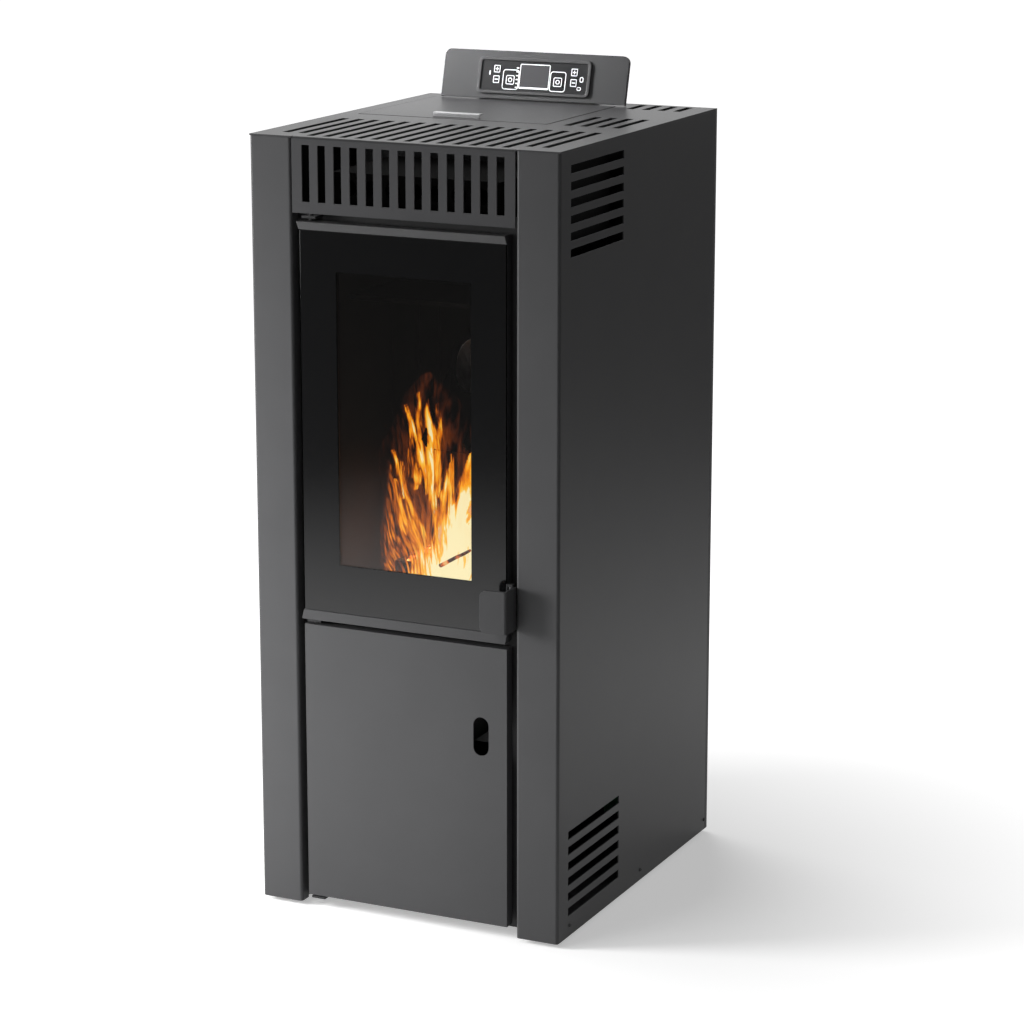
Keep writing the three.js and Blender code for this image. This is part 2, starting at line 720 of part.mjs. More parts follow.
/** Steel frame behind the glass: front plate with rims, and ears for the handle's pin. */
function doorFrame() {
  const x = [doorX[0] + stripLip, doorX[1] - stripLip];
  const z = [glassDoorZ[0] + stripLip, glassDoorZ[1] - stripLip];
  const hole = {
    x: grow(around(0, windowWidth), windowBorder),
    z: grow([windowBottom, windowTop], windowBorder),
  };
  const wall = doorFrameWall;
  const y = [frameFront, frameBack];
  const pocket = [frameFront + wall, frameBack + 1];
  let body = cut(block(x, y, z), block(grow(x, -wall), pocket, grow(z, -wall)));
  body = join(body, block(grow(hole.x, wall), y, grow(hole.z, wall)));
  const blocks = [[z[0], z[0] + hingePinReach + wall], [z[1] - hingePinReach - wall, z[1]]];
  blocks.forEach((run) => { body = join(body, block([x[0], hinge.x + hingeInset], y, run)); });
  body = cut(body, block(hole.x, grow(y, 1), hole.z), ...pinBores(z));
  const earRun = [handleEars[0][0], handleEars[1][1]];
  const arm = join(
    block([x[1] - 1, x[1] + handleArm], [frameFront, mid(y)], earRun),
    block([x[1] + fit, x[1] + handleArm], [-fit, frameFront + 1], earRun));
  const ears = handleEars.map((run) =>
    block([x[1] + fit, handlePinX + handleBarrel], around(handlePivot, 2 * handleBarrel), run));
  return join(body, arm, ...ears, rod('z', handlePin, earRun, [handlePinX, handlePivot], 12));
}

/** Glazing strip: its outer edge stands out and slopes in to the glass. */
function glazingStrip(top) {
  const [inner, outer] = top
    ? [glassDoorZ[1] - stripHeight, glassDoorZ[1]]
    : [glassDoorZ[0] + stripHeight, glassDoorZ[0]];
  const lip = top ? -stripLip : stripLip;
  const rear = glassThickness;
  const section = [
    [rear, inner], [-stripEdge, inner], [-stripProud, outer + lip], [-stripProud, outer], [rear, outer],
  ];
  return prism('x', outline(section), grow(doorX, stripOverhang));
}

/** Handle: a barrel on its pin, a side web, a front plate and a latch tongue. */
function doorHandle() {
  const front = -handleStand - handleSheet;
  const arm = handlePivot + handleSheet / 2;
  const bar = outline([
    [handlePinX, arm],
    [handlePinX, arm - handleSheet],
    [handleX[0], arm - handleSheet],
    [handleX[0], front + handleSheet, 0.5],
    [handleX[1] - handleReach, front + handleSheet - handleFlare],
    [handleX[1] - handleReach, front - handleFlare],
    [handleX[1], front, handleBend],
    [handleX[1], arm],
  ]);
  const sheetPart = prism('z', bar, handleZ);
  const plateWindow = prism('y', outline([
    [handleX[1] - handleReach, handleZ[0], handleCorner],
    [handleX[1] + 1, handleZ[0]],
    [handleX[1] + 1, handleZ[1]],
    [handleX[1] - handleReach, handleZ[1], handleCorner],
  ]), [-frontReach - 2, frameBack]);
  const tongue = join(
    block(latchX, [handlePivot, frameRear + latchHook], latchZ),
    block([latchX[0], latchX[1] + latchHook], [frameRear + 1, frameRear + latchHook], latchZ),
  );
  const barrel = rod('z', handleBarrel, handleZ, [handlePinX, handlePivot], 20);
  const bore = rod('z', handlePin + fit, grow(handleZ, 1), [handlePinX, handlePivot], 12);
  return cut(join(sheetPart.intersect(plateWindow), tongue, barrel), bore);
}

/** Rope gasket of the fire door, a flat ring between the door and the front frame. */
function doorGasket() {
  const y = [frameBack + fit, frameFace - fit];
  const inner = { x: grow(around(0, fireWidth), gasketInset), z: grow([fireFloor, fireTop], gasketInset) };
  const outer = { x: grow(inner.x, gasketWidth), z: grow(inner.z, gasketWidth) };
  return cut(
    prism('y', outline(rectangle(outer.x, outer.z, 2 * gasketCorner)), y),
    prism('y', outline(rectangle(inner.x, inner.z, gasketCorner)), grow(y, 1)));
}

/** Service door: a folded tray with a finger slot and a block for each hinge pin. */
function lowerDoor() {
  const z = [lowerDoorBottom, lowerDoorTop];
  const y = [0, lowerDoorDepth];
  const shell = cut(block(doorX, y, z), block(grow(doorX, -sheet), [sheet, y[1] + 1], grow(z, -sheet)));
  const depth = hingePinReach + sheet;
  const blocks = [[z[0], z[0] + depth], [z[1] - depth, z[1]]].map((run) =>
    block([doorX[0], hinge.x + hingeInset / 2], y, run));
  const slotX = around(doorX[1] - fingerSlotEdge, fingerSlotWidth);
  const slotZ = around(fingerSlotHeightAt, fingerSlotHeight);
  const slot = prism('y', outline(rectangle(slotX, slotZ, fingerSlotWidth / 2 - 0.1), 5), [-1, sheet + 1]);
  return cut(join(shell, ...blocks), slot, ...pinBores(z));
}

/** Magnet catch on the front frame, just behind the service door's sheet. */
function magnetCatch() {
  const right = doorX[1] - 2 * sheet;
  const z = around(fingerSlotHeightAt - fingerSlotHeight, magnetHeight);
  return block([right - magnetSize, right], [sheet + fit, frameFace - fit], z);
}

// ---------------------------------------------------------------- fire chamber
const gasHole = { x: around(0, gasHoleWidth), y: around(frameRear + fireDepth / 2, gasHoleDepth) };
const potX = around(0, potWidth);
const potY = from(potFront, potDepth);

/** Welded fire chamber, open at the front, with its gas, chute, igniter, air and ash holes. */
function firebox() {
  const x = around(0, fireWidth);
  const y = [frameRear + fit, fireRear];
  const shell = cut(
    block(grow(x, fireWall), [y[0], fireBackOuter], [fireFloor - fireWall, fireShellTop]),
    block(x, [y[0] - 1, y[1]], [fireFloor, fireTop]));
  return cut(shell,
    block(grow(potX, -ashHoleMargin), grow(potY, -ashHoleMargin), [fireFloor - 2 * fireWall, fireFloor + 1]),
    block(gasHole.x, gasHole.y, grow([fireTop, fireShellTop], 1)),
    feedHole(),
    rod('y', igniterRadius + fit, grow([fireRear, fireBackOuter], 1), [0, fireFloor + igniterHeight], 16),
    rod('y', intakeRadius - intakeWall, grow([fireRear, fireBackOuter], 1), [intakeX, intakeHeight], 24));
}

/** The auger tube's bore, carried on through the chamber's rear wall and back plate. */
const feedHole = () =>
  inAuger(rodGeometry(augerRadius - augerWall, around(augerLength, 2 * augerEndRun)));

/** Cast back plate inside the chamber. */
function fireBackPlate() {
  const y = [backPlateFront, fireRear - fit];
  const plate = block(around(0, fireWidth - 2 * fit), y, [fireFloor + fit, backPlateTop]);
  const ribs = backRibs.map((x) =>
    block(around(x, backRibWidth), [backPlateFront - backRibProud, backPlateFront + 1],
      [backRibBottom, backPlateTop - backRibDrop]));
  return cut(join(plate, ...ribs),
    feedHole(),
    rod('y', igniterRadius + fit, grow(y, 1), [0, fireFloor + igniterHeight], 16),
    rod('y', intakeRadius - intakeWall, grow(y, 1), [intakeX, intakeHeight], 24));
}

/** Baffle above the fire: it rests against the back plate's top and the chamber's walls. */
function bafflePlate() {
  const y = [baffleFront, fireRear - fit];
  return block(around(0, fireWidth - 2 * fit), y, from(backPlateTop + fit, baffleSheet));
}

/** Burn pot: a thick-walled open box with slots in its floor. */
function burnPot() {
  const z = from(fireFloor + fit, potHeight);
  const inside = block(grow(potX, -potWall), grow(potY, -potWall), [z[0] + potWall, z[1] + 1]);
  const pot = cut(block(potX, potY, z), inside);
  const pitch = (potWidth - 4 * potWall) / potSlots;
  const slots = [];
  for (let index = 0; index < potSlots; index += 1) {
    const x = (index - (potSlots - 1) / 2) * pitch;
    slots.push(block(around(x, potSlotWidth), grow(potY, -3 * potWall), grow(z, 1)));
  }
  return cut(pot, ...slots);
}

function igniter() {
  const at = [0, fireFloor + igniterHeight];
  const tip = potY[1] + fit;
  return join(rod('y', igniterRadius, [tip, fireBackOuter + igniterTail], at),
    rod('y', igniterCollar, from(fireBackOuter + fit, igniterTail / 2), at));
}

// ---------------------------------------------------------------- pellet feed
const augerFrame = new THREE.Matrix4().makeBasis(
  new THREE.Vector3(1, 0, 0),
  new THREE.Vector3(0, Math.sin(augerAngle), Math.cos(augerAngle)),
  new THREE.Vector3(0, -Math.cos(augerAngle), Math.sin(augerAngle)),
).setPosition(0, augerFootY, augerFootZ);

/** Places a geometry drawn along the auger's own axis, where z = 0 is the tube's lower end. */
const inAuger = (geometry) => toSolid(geometry.applyMatrix4(augerFrame));

function rodGeometry(radius, run, sides = 24) {
  const geometry = new THREE.CylinderGeometry(radius, radius, span(run), sides);
  return geometry.rotateX(Math.PI / 2).translate(0, 0, mid(run));
}

/** Everything above the auger's axis, from just past the tube's lower end. */
const aboveAuger = (start) =>
  inAuger(blockGeometry([-halfWidth, halfWidth], [0, caseDepth], [start, caseDepth]));

/** A frustum between two level rectangles. */
function frustum(low, high) {
  const ring = ({ x, y, z }) => [[x[0], y[0], z], [x[1], y[0], z], [x[1], y[1], z], [x[0], y[1], z]];
  const points = [...ring(low), ...ring(high)].flat();
  const faces = [0, 2, 1, 0, 3, 2, 4, 5, 6, 4, 6, 7];
  for (let side = 0; side < 4; side += 1) {
    const next = (side + 1) % 4;
    faces.push(side, next, next + 4, side, next + 4, side + 4);
  }
  const geometry = new THREE.BufferGeometry();
  geometry.setAttribute('position', new THREE.Float32BufferAttribute(points, 3));
  geometry.setIndex(faces);
  return toSolid(geometry);
}

/** Hopper: straight upper box with a rim, funnel, and a neck that saddles the auger tube. */
function hopper() {
  const neckX = around(0, neckWidth);
  const neckY = from(neckFront, neckDepth);
  const hollow = (by) => join(
    block(grow(hopperX, -by), grow(hopperY, -by), [funnelTop, hopperTop + (by ? 1 : 0)]),
    frustum({ x: grow(neckX, -by), y: grow(neckY, -by), z: neckTop },
      { x: grow(hopperX, -by), y: grow(hopperY, -by), z: funnelTop }));
  const rimX = grow(hopperX, sealWidth - hopperWall);
  const rimY = [hopperY[0] - sealWidth + hopperWall, hopperY[1] + hopperWall * 2];
  const rim = block(rimX, rimY, [hopperTop - hopperWall, hopperTop]);
  const neck = block(neckX, neckY, [augerFootZ, neckTop + 1]).intersect(aboveAuger(2));
  const bore = block(grow(neckX, -neckWall), grow(neckY, -neckWall), [augerFootZ - 1, neckTop + 2]);
  const saddle = inAuger(rodGeometry(augerRadius + fit, [-augerEndRun, augerLength + augerEndRun]));
  return cut(join(hollow(0), rim, cut(neck, saddle)), hollow(hopperWall), bore);
}

/** Flat seal between the hopper's rim and the cover; its inner edge carries the lid. */
function hopperSeal() {
  const inner = { x: grow(hopperX, -hopperWall), y: grow(hopperY, -hopperWall) };
  const outer = {
    x: grow(inner.x, sealWidth),
    y: [inner.y[0] - sealWidth, hopperY[1] + hopperWall * 2],
  };
  return cut(block(outer.x, outer.y, sealZ), block(inner.x, inner.y, grow(sealZ, 1)));
}

/** Hopper lid: plate, curled finger pull and two ears on the hinge pin. */
function hopperLid() {
  const z = [coverUnderside, coverUnderside + lidSheet];
  const reach = [lidY[0] + lidGap, lidY[1] - lidRearGap];
  const plate = prism('z', outline(rectangle(grow(lidX, -lidGap), reach, 2), 2), z);
  const y = lidY[0] + lidGap + lidPullSetback;
  const pull = prism('x', outline([
    [y, z[1] - 1],
    [y, z[1] + lidPullRise, 1.5],
    [y + lidPullCurl, z[1] + lidPullRise],
    [y + lidPullCurl, z[1] + lidPullRise - lidPullSheet],
    [y + lidPullSheet, z[1] + lidPullRise - lidPullSheet],
    [y + lidPullSheet, z[1] - 1],
  ]), around(mid(lidX), lidPullWidth));
  const bore = rod('x', lidPinRadius + fit, grow(lidX, 5), [lidPin.y, lidPin.z], 16);
  const ears = [lidX[0] + lidEarInset, lidX[1] - lidEarInset - lidEar].map((x) => {
    const ear = join(
      rod('x', lidEarRadius, from(x, lidEar), [lidPin.y, lidPin.z], 20),
      block(from(x, lidEar), around(lidPin.y, 2 * lidEarRadius), [lidPin.z, z[0] + 1]));
    return cut(ear, bore);
  });
  return join(plate, pull, ...ears);
}

function lidHingePin() {
  const tabs = pinTabs();
  return rod('x', lidPinRadius, [tabs[0][0] - 1, tabs[1][1] + 1], [lidPin.y, lidPin.z], 16);
}

/** Auger tube, cut off at the chamber's rear wall, with an inlet under the hopper's neck. */
function augerTube() {
  const tube = inAuger(rodGeometry(augerRadius, [0, augerLength + augerEndRun]));
  const bore = inAuger(rodGeometry(augerRadius - augerWall, [-1, augerLength + augerEndRun + 1]));
  const chamber = block([-halfWidth, halfWidth], [0, fireBackOuter + fit], [0, caseHeight]);
  const margin = neckWall + 2;
  const inlet = block(grow(around(0, neckWidth), -margin), grow(from(neckFront, neckDepth), -margin),
    [augerFootZ, neckTop]).intersect(aboveAuger(2));
  return cut(tube, bore, chamber, inlet);
}

/** Auger screw: a shaft with one helical flight. */
function augerScrew() {
  const run = [screwClear, augerLength - screwClear - screwRadius];
  const turns = span(run) / screwPitch;
  const steps = Math.round(turns * screwSteps);
  const root = screwShaft / 2;
  const section = [[root, 0], [screwRadius, 0], [screwRadius, screwFlight], [root, screwFlight]];
  const points = [];
  const faces = [];
  for (let step = 0; step <= steps; step += 1) {
    const angle = 2 * Math.PI * turns * step / steps;
    const along = run[0] + (span(run) - screwFlight) * step / steps;
    section.forEach(([radius, rise]) => {
      points.push(radius * Math.cos(angle), radius * Math.sin(angle), along + rise);
    });
    if (step < steps) {
      for (let side = 0; side < 4; side += 1) {
        const a = step * 4 + side;
        const b = step * 4 + (side + 1) % 4;
        faces.push(a, b + 4, b, a, a + 4, b + 4);
      }
    }
  }
  const last = steps * 4;
  faces.push(0, 1, 2, 0, 2, 3, last, last + 2, last + 1, last, last + 3, last + 2);
  const flight = new THREE.BufferGeometry();
  flight.setAttribute('position', new THREE.Float32BufferAttribute(points, 3));
  flight.setIndex(faces);
  return join(inAuger(flight), inAuger(rodGeometry(screwShaft, [fit - gearboxBore, run[1] + 4], 12)));
}

/** Gearmotor on the tube's lower end: gearbox with the shaft's bore, and the motor. */
function augerGearmotor() {
  const box = blockGeometry(around(0, gearboxWidth), around(0, gearboxHeight), [-gearboxLength - fit, -fit]);
  const motorEnd = -gearboxLength - gearMotorLength;
  return cut(
    join(inAuger(box), inAuger(rodGeometry(gearMotorRadius, [motorEnd, -gearboxLength], 20))),
    inAuger(rodGeometry(screwShaft + fit, [-gearboxBore, 1], 12)));
}

/** Pellet chute: a trough that slopes from the back plate's hole towards the burn pot. */
function pelletChute() {
  const holeBottom = axisHeight(backPlateFront) - (augerRadius - augerWall) / Math.cos(augerAngle);
  const x = around(0, chuteWidth);
  const along = [-2 * chuteSide, chuteLength];
  const trough = cut(block(x, along, [0, chuteSide]),
    block(grow(x, -chuteSheet), grow(along, 1), [chuteSheet, chuteSide + 1]));
  const slope = new THREE.Matrix4().makeBasis(
    new THREE.Vector3(-1, 0, 0),
    new THREE.Vector3(0, -Math.cos(chuteAngle), -Math.sin(chuteAngle)),
    new THREE.Vector3(0, -Math.sin(chuteAngle), Math.cos(chuteAngle)),
  ).setPosition(0, backPlateFront, holeBottom - chuteSheet / Math.cos(chuteAngle));
  const placed = toSolid(toGeometry(trough).applyMatrix4(slope));
  return cut(placed, block([-caseWidth, caseWidth], [backPlateFront - fit, caseDepth], [0, caseHeight]));
}

// ---------------------------------------------------------------- smoke path
/** Heat exchanger: gas box on the chamber, crossed by open air tubes. */
function heatExchanger() {
  const x = grow(around(0, fireWidth), fireWall);
  const y = [exchangerFront, fireBackOuter];
  const z = [fireShellTop + fit, exchangerTop];
  const hollow = block(grow(x, -exchangerWall), grow(y, -exchangerWall), grow(z, -exchangerWall));
  const places = [];
  for (let index = 0; index < exchangerTubes; index += 1) {
    places.push([(index - (exchangerTubes - 1) / 2) * exchangerTubePitch, exchangerTop - exchangerTubeDrop]);
  }
  const bore = exchangerTubeRadius - exchangerTubeWall;
  const body = join(cut(block(x, y, z), hollow),
    ...places.map((at) => rod('y', exchangerTubeRadius, y, at, tubeSides)));
  return cut(body,
    ...places.map((at) => rod('y', bore, grow(y, 1), at, tubeSides)),
    block(gasHole.x, gasHole.y, grow(from(z[0], exchangerWall), 1)),
    gasPort([fireBackOuter - 2 * exchangerWall, fireBackOuter + 1]));
}

/** The port between the exchanger and the smoke duct, below the air tubes. */
function gasPort(y) {
  return block(grow(ductX, -2 * ductWall), y, gasPortZ);
}

/** Smoke duct behind the chamber, down to the smoke fan. */
function smokeDuct() {
  const z = [baseTop + fit, gasPortZ[1] + 2 * ductWall];
  const hollow = block(grow(ductX, -ductWall), grow(ductY, -ductWall), grow(z, -ductWall));
  const body = cut(block(ductX, ductY, z), hollow);
  return cut(body, gasPort([ductY[0] - 1, ductY[0] + ductWall + 1]),
    rod('y', smokeFanInlet, grow([ductY[1] - ductWall, ductY[1]], 1), [smokeDuctX, smokeFanHeight], 24));
}

/** Smoke fan housing: a drum with a side outlet that ends at the flue pipe. */
function smokeFanHousing() {
  const at = [smokeDuctX, smokeFanHeight];
  const outletX = [smokeDuctX, flueX + flueRadius + 2 * ductWall];
  const outletZ = grow(around(smokeFanHeight, 2 * flueRadius), ductWall);
  const rear = [smokeFanY[1] - ductWall, smokeFanY[1]];
  const shape = (by) => join(
    rod('y', smokeFanRadius - by, grow(smokeFanY, -by), at, 24),
    block([outletX[0], outletX[1] - by], grow(smokeFanY, -by), grow(outletZ, -by)));
  return cut(shape(0), shape(ductWall),
    rod('y', smokeFanInlet, grow(from(smokeFanY[0], ductWall), 1), at, 24),
    rod('y', flueRadius - flueWall, grow(rear, 1), [flueX, smokeFanHeight], 24),
    rod('y', motorShaft + fit, grow(rear, 1), at, 16));
}

/** Smoke fan impeller: a disc with straight blades on its shaft. */
function smokeFanImpeller() {
  const at = [smokeDuctX, smokeFanHeight];
  const disc = from(smokeFanY[1] - ductWall - impellerClear, impellerSheet);
  const blades = [];
  for (let index = 0; index < impellerBlades; index += 1) {
    const reach = [impellerHub - impellerSheet, impellerRadius - 1];
    const blade = blockGeometry(reach, [disc[0] - impellerDepth, mid(disc)], around(0, impellerSheet));
    blade.rotateY(2 * Math.PI * index / impellerBlades).translate(at[0], 0, at[1]);
    blades.push(toSolid(blade));
  }
  return join(
    rod('y', impellerRadius, disc, at, 24),
    rod('y', impellerHub, [disc[0] - impellerDepth / 2, mid(disc)], at),
    rod('y', motorShaft, [disc[0], smokeFanY[1] + shaftEnd], at, 12), ...blades);
}

function smokeFanMotor() {
  const at = [smokeDuctX, smokeFanHeight];
  const y = from(smokeFanY[1] + fit, smokeMotorLength);
  const drum = rod('y', smokeMotorRadius, [y[0], y[1] - motorNose], at);
  const bore = rod('y', motorShaft + fit, [y[0] - 1, y[0] + shaftBore], at, 12);
  return cut(join(drum, rod('y', smokeMotorRadius - motorNose, y, at)), bore);
}

// ---------------------------------------------------------------- ash drawer and room fan
const drawerX = around(0, drawerWidth);
const drawerY = from(drawerFront, drawerDepth);
const drawerZ = from(sleeveFloor + sleeveSheet + fit, drawerHeight);

/** Sleeve under the fire chamber: it guides the ash drawer and is open at the front and top. */
function ashDrawerSleeve() {
  const x = grow(drawerX, drawerRun + sleeveSheet);
  const y = [frameRear + fit, drawerY[1] + 2 * sleeveSheet];
  const z = [sleeveFloor, fireFloor - fireWall - fit];
  return cut(block(x, y, z),
    block(grow(x, -sleeveSheet), [y[0] - 1, y[1] - sleeveSheet], grow(z, -sleeveSheet)),
    block(grow(potX, -ashHoleMargin), grow(potY, -ashHoleMargin), [z[1] - 2 * sleeveSheet, z[1] + 1]));
}

/** Ash drawer: an open tray with a folded pull on its front. */
function ashDrawer() {
  const z = [drawerZ[0] + drawerSheet, drawerZ[1] + 1];
  const tray = cut(block(drawerX, drawerY, drawerZ),
    block(grow(drawerX, -drawerSheet), grow(drawerY, -drawerSheet), z));
  const middle = mid(drawerZ);
  const x = around(0, drawerPullWidth);
  const arm = block(x, [drawerFront - drawerPull, drawerFront + 1], [middle - drawerSheet, middle]);
  const lip = block(x, from(drawerFront - drawerPull, drawerSheet), [middle - drawerPullHeight, middle]);
  return join(tray, arm, lip);
}

const roomFanX = from(roomFanLeft, roomFanLength);
const roomFanYRun = around(roomFanY, 2 * roomFanHalf);

/** Room fan housing: two end plates on the base, a rear shell and a part roof. */
function roomFanHousing() {
  const ends = [from(roomFanX[0], roomFanSheet), [roomFanX[1] - roomFanSheet, roomFanX[1]]];
  const [low, top] = around(roomFanZ, 2 * (roomFanHalf + roomFanLip));
  const body = join(
    ...ends.map((x) => block(x, roomFanYRun, [baseTop + fit, top])),
    block(roomFanX, [roomFanYRun[1] - roomFanSheet, roomFanYRun[1]], [low, top]),
    block(roomFanX, [roomFanYRun[0], roomFanY], [top - roomFanSheet, top]),
    block(roomFanX, [roomFanY - roomFanHalf / 2, roomFanYRun[1]], from(low, roomFanSheet)));
  return cut(body, rod('x', motorShaft + fit, grow(roomFanX, 1), [roomFanY, roomFanZ], 12));
}

/** Room fan rotor: a squirrel cage of blades between two discs on a shaft. */
function roomFanRotor() {
  const at = [roomFanY, roomFanZ];
  const run = grow(roomFanX, -roomFanSheet - rotorClear);
  const blades = [];
  for (let index = 0; index < rotorBlades; index += 1) {
    const depth = [rotorRadius - rotorBladeDepth, rotorRadius - 0.5];
    const blade = blockGeometry(grow(run, -rotorDisc / 2), depth, around(0, rotorBladeThickness));
    blade.rotateX(2 * Math.PI * index / rotorBlades).translate(0, at[0], at[1]);
    blades.push(toSolid(blade));
  }
  return join(
    rod('x', rotorRadius, from(run[0], rotorDisc), at),
    rod('x', rotorRadius, [run[1] - rotorDisc, run[1]], at),
    rod('x', motorShaft, [roomFanX[0], roomFanX[1] + shaftEnd], at, 12), ...blades);
}

function roomFanMotor() {
  const at = [roomFanY, roomFanZ];
  const x = from(roomFanX[1] + fit, roomMotorLength);
  const bore = rod('x', motorShaft + fit, [x[0] - 1, x[0] + shaftBore], at, 12);
  return cut(rod('x', roomMotorRadius, x, at), bore);
}

// ---------------------------------------------------------------- console
const bezelX = from(bezelLeft, bezelWidth);
const bezelZ = from(bezelBottom, bezelHeight);
const displayX = from(displayLeft, displayWidth);
const displayZ = from(displayBottom, displayHeight);
const keypadFace = -bezelFloor - fit;
const keypadX = grow(bezelX, -bezelMargin);
const keypadZ = grow(bezelZ, -bezelMargin);

/** The leaning console's own group: y = 0 is its front face and z runs up the slope. */
function consoleGroup() {
  const group = new THREE.Group();
  group.position.set(0, consoleFront, caseHeight);
  group.rotation.x = -consoleLean;
  stove.add(group);
  return group;
}

/** Console sheet: a tray with rounded top corners and an opening behind the keypad. */
function consolePlate() {
  const x = [-halfWidth + consoleLeft, halfWidth - consoleRight];
  const z = [consoleLift, consoleHeight];
  const shape = (by) => prism('y', outline([
    [x[0] + by, z[0] - (by ? 1 : 0)],
    [x[1] - by, z[0] - (by ? 1 : 0)],
    [x[1] - by, z[1] - by, consoleCorner - by],
    [x[0] + by, z[1] - by, consoleCorner - by],
  ], 5), by ? [by, consoleRim + 1] : [0, consoleRim]);
  return cut(shape(0), shape(sheet), block(grow(keypadX, -2), [-1, sheet + 1], grow(keypadZ, -1)));
}

/** Bezel and keypad face in one moulding, with holes for the buttons and the display. */
function displayBezel() {
  const rim = prism('y', outline(rectangle(bezelX, bezelZ, bezelCorner), 5), [-bezelProud, -fit]);
  const dish = prism('y', outline(rectangle(keypadX, keypadZ, bezelCorner - bezelMargin), 3),
    [-bezelProud - 1, keypadFace]);
  const through = [-bezelProud - 1, 1];
  const holes = Object.values(buttonPlaces).map(([x, z, size]) =>
    block(around(x, size[0] + 2 * fit), through, around(z, size[1] + 2 * fit)));
  return cut(rim, dish, block(grow(displayX, fit), through, grow(displayZ, fit)), ...holes);
}

function displayWindow() {
  return block(displayX, [keypadFace - windowProud, -2 * fit], displayZ);
}

function buttonSolid([x, z, size]) {
  const face = keypadFace - buttonProud;
  const stem = boardDepth - fit - buttonTravel;
  const cap = outline(rectangle(around(x, size[0]), around(z, size[1]), buttonCorner), 2);
  return join(
    prism('y', cap, [face, sheet / 2]),
    block(around(x, buttonStem), [0, stem], around(z, buttonStem)));
}

function keypadBoard() {
  const x = grow(from(bezelLeft - housingMargin, bezelWidth + 2 * housingMargin), -housingWall - fit);
  const z = [housingBottom + housingWall + fit, bezelZ[1] - fit];
  const board = block(x, from(boardDepth, boardThickness), z);
  const chipY = [boardDepth + 1, boardDepth + chipHeight];
  const chip = block(grow(displayX, -2), chipY, grow(displayZ, -chipInset));
  const panel = block(grow(displayX, -2), [-fit, boardDepth + 1], grow(displayZ, -2));
  return join(board, chip, panel);
}

/** Rear housing of the console, open towards the sheet. */
function displayHousing() {
  const x = grow(bezelX, housingMargin);
  const z = [housingBottom, bezelZ[1] + housingWall];
  const y = [sheet + fit, sheet + fit + housingDepth];
  const hollow = block(grow(x, -housingWall), [y[0] - 1, y[1] - housingWall], grow(z, -housingWall));
  return cut(block(x, y, z), hollow);
}

// ---------------------------------------------------------------- electrics
/** Mains inlet with its plug socket and the well of the rocker switch. */
function powerInlet() {
  const x = around(inletX, inletWidth);
  const z = around(inletZ, inletHeight);
  const plate = block(grow(x, inletFlange), from(caseDepth + fit, inletPlate), grow(z, inletFlange));
  const body = block(x, [caseDepth - inletDepth, caseDepth + fit + 1], z);
  const face = caseDepth + fit + inletPlate;
  const socket = block(around(inletX, socketWidth), [face - socketDepth, face + 1],
    around(inletZ - socketDrop, socketHeight));
  const pins = [-1, 0, 1].map((place) => block(around(inletX + place * socketPinPitch, socketPin[0]),
    [face - socketDepth - 1, face - socketPinSetback], around(inletZ - socketDrop, socketPin[1])));
  const well = block(around(inletX, rockerWidth + 2 * fit), [face - rockerDepth - rockerBack, face + 1],
    around(inletZ + rockerRise, rockerHeight + 2 * rockerSwing));
  return join(cut(join(plate, body), socket, well), ...pins);
}

function powerSwitch() {
  const face = caseDepth + fit + inletPlate;
  const y = [face - rockerDepth, face + rockerProud];
  return prism('x', outline([
    [y[0], inletZ + rockerRise - rockerHeight / 2],
    [y[1], inletZ + rockerRise - rockerHeight / 2, rockerCorner],
    [y[1] - rockerDish, inletZ + rockerRise],
    [y[1], inletZ + rockerRise + rockerHeight / 2, rockerCorner],
    [y[0], inletZ + rockerRise + rockerHeight / 2],
  ], 2), around(inletX, rockerWidth));
}

/** Control board on spacers, inside the right side panel. */
function controlBoard() {
  const x = innerSide - fit;
  const face = x - boardStand;
  const y = from(boardY, boardWidth);
  const z = from(boardZ, boardHeight);
  const board = block([face - boardThickness, face], y, z);
  const spacers = grow(y, -boardSpacerInset).flatMap((across) =>
    grow(z, -boardSpacerInset).map((up) => rod('x', boardSpacer, [face - 1, x], [across, up], 12)));
  const parts = boardParts.map(([across, wide, up, high, tall]) =>
    block([face - boardThickness - tall, face - 1], from(y[0] + across, wide), from(z[0] + up, high)));
  return join(board, ...spacers, ...parts);
}

// ---------------------------------------------------------------- assembly
piece('base_plate', basePan(), 'darkPaint');
footPlaces().forEach(({ name, at }) => piece(name, foot(at), 'rubber'));
piece('side_panel_left', sidePanel(-1), 'paint');
piece('side_panel_right', sidePanel(1), 'paint');
piece('rear_panel', rearPanel(), 'darkPaint');
piece('top_cover', topCover(), 'paint');
piece('front_frame', frontFrame(), 'darkPaint');

Object.entries(hingeBrackets()).forEach(([name, solid]) => piece(name, solid, 'darkPaint'));
piece('door_frame', doorFrame(), 'darkPaint');
piece('door_glass', block([doorX[0] + stripLip, doorX[1] - stripLip], [0, glassThickness],
  [glassDoorZ[0] + stripHeight + fit, glassDoorZ[1] - stripHeight - fit]), 'glass');
piece('door_strip_top', glazingStrip(true), 'paint');
piece('door_strip_bottom', glazingStrip(false), 'paint');
piece('door_gasket', doorGasket(), 'rope');
piece('door_handle', doorHandle(), 'paint');
piece('lower_door', lowerDoor(), 'paint');
piece('magnet_catch', magnetCatch(), 'zinc');

piece('firebox', firebox(), 'castIron');
piece('fire_back_plate', fireBackPlate(), 'vermiculite');
piece('baffle_plate', bafflePlate(), 'castIron');
piece('burn_pot', burnPot(), 'castIron');
piece('igniter', igniter(), 'ceramic');
piece('pellet_chute', pelletChute(), 'castIron');

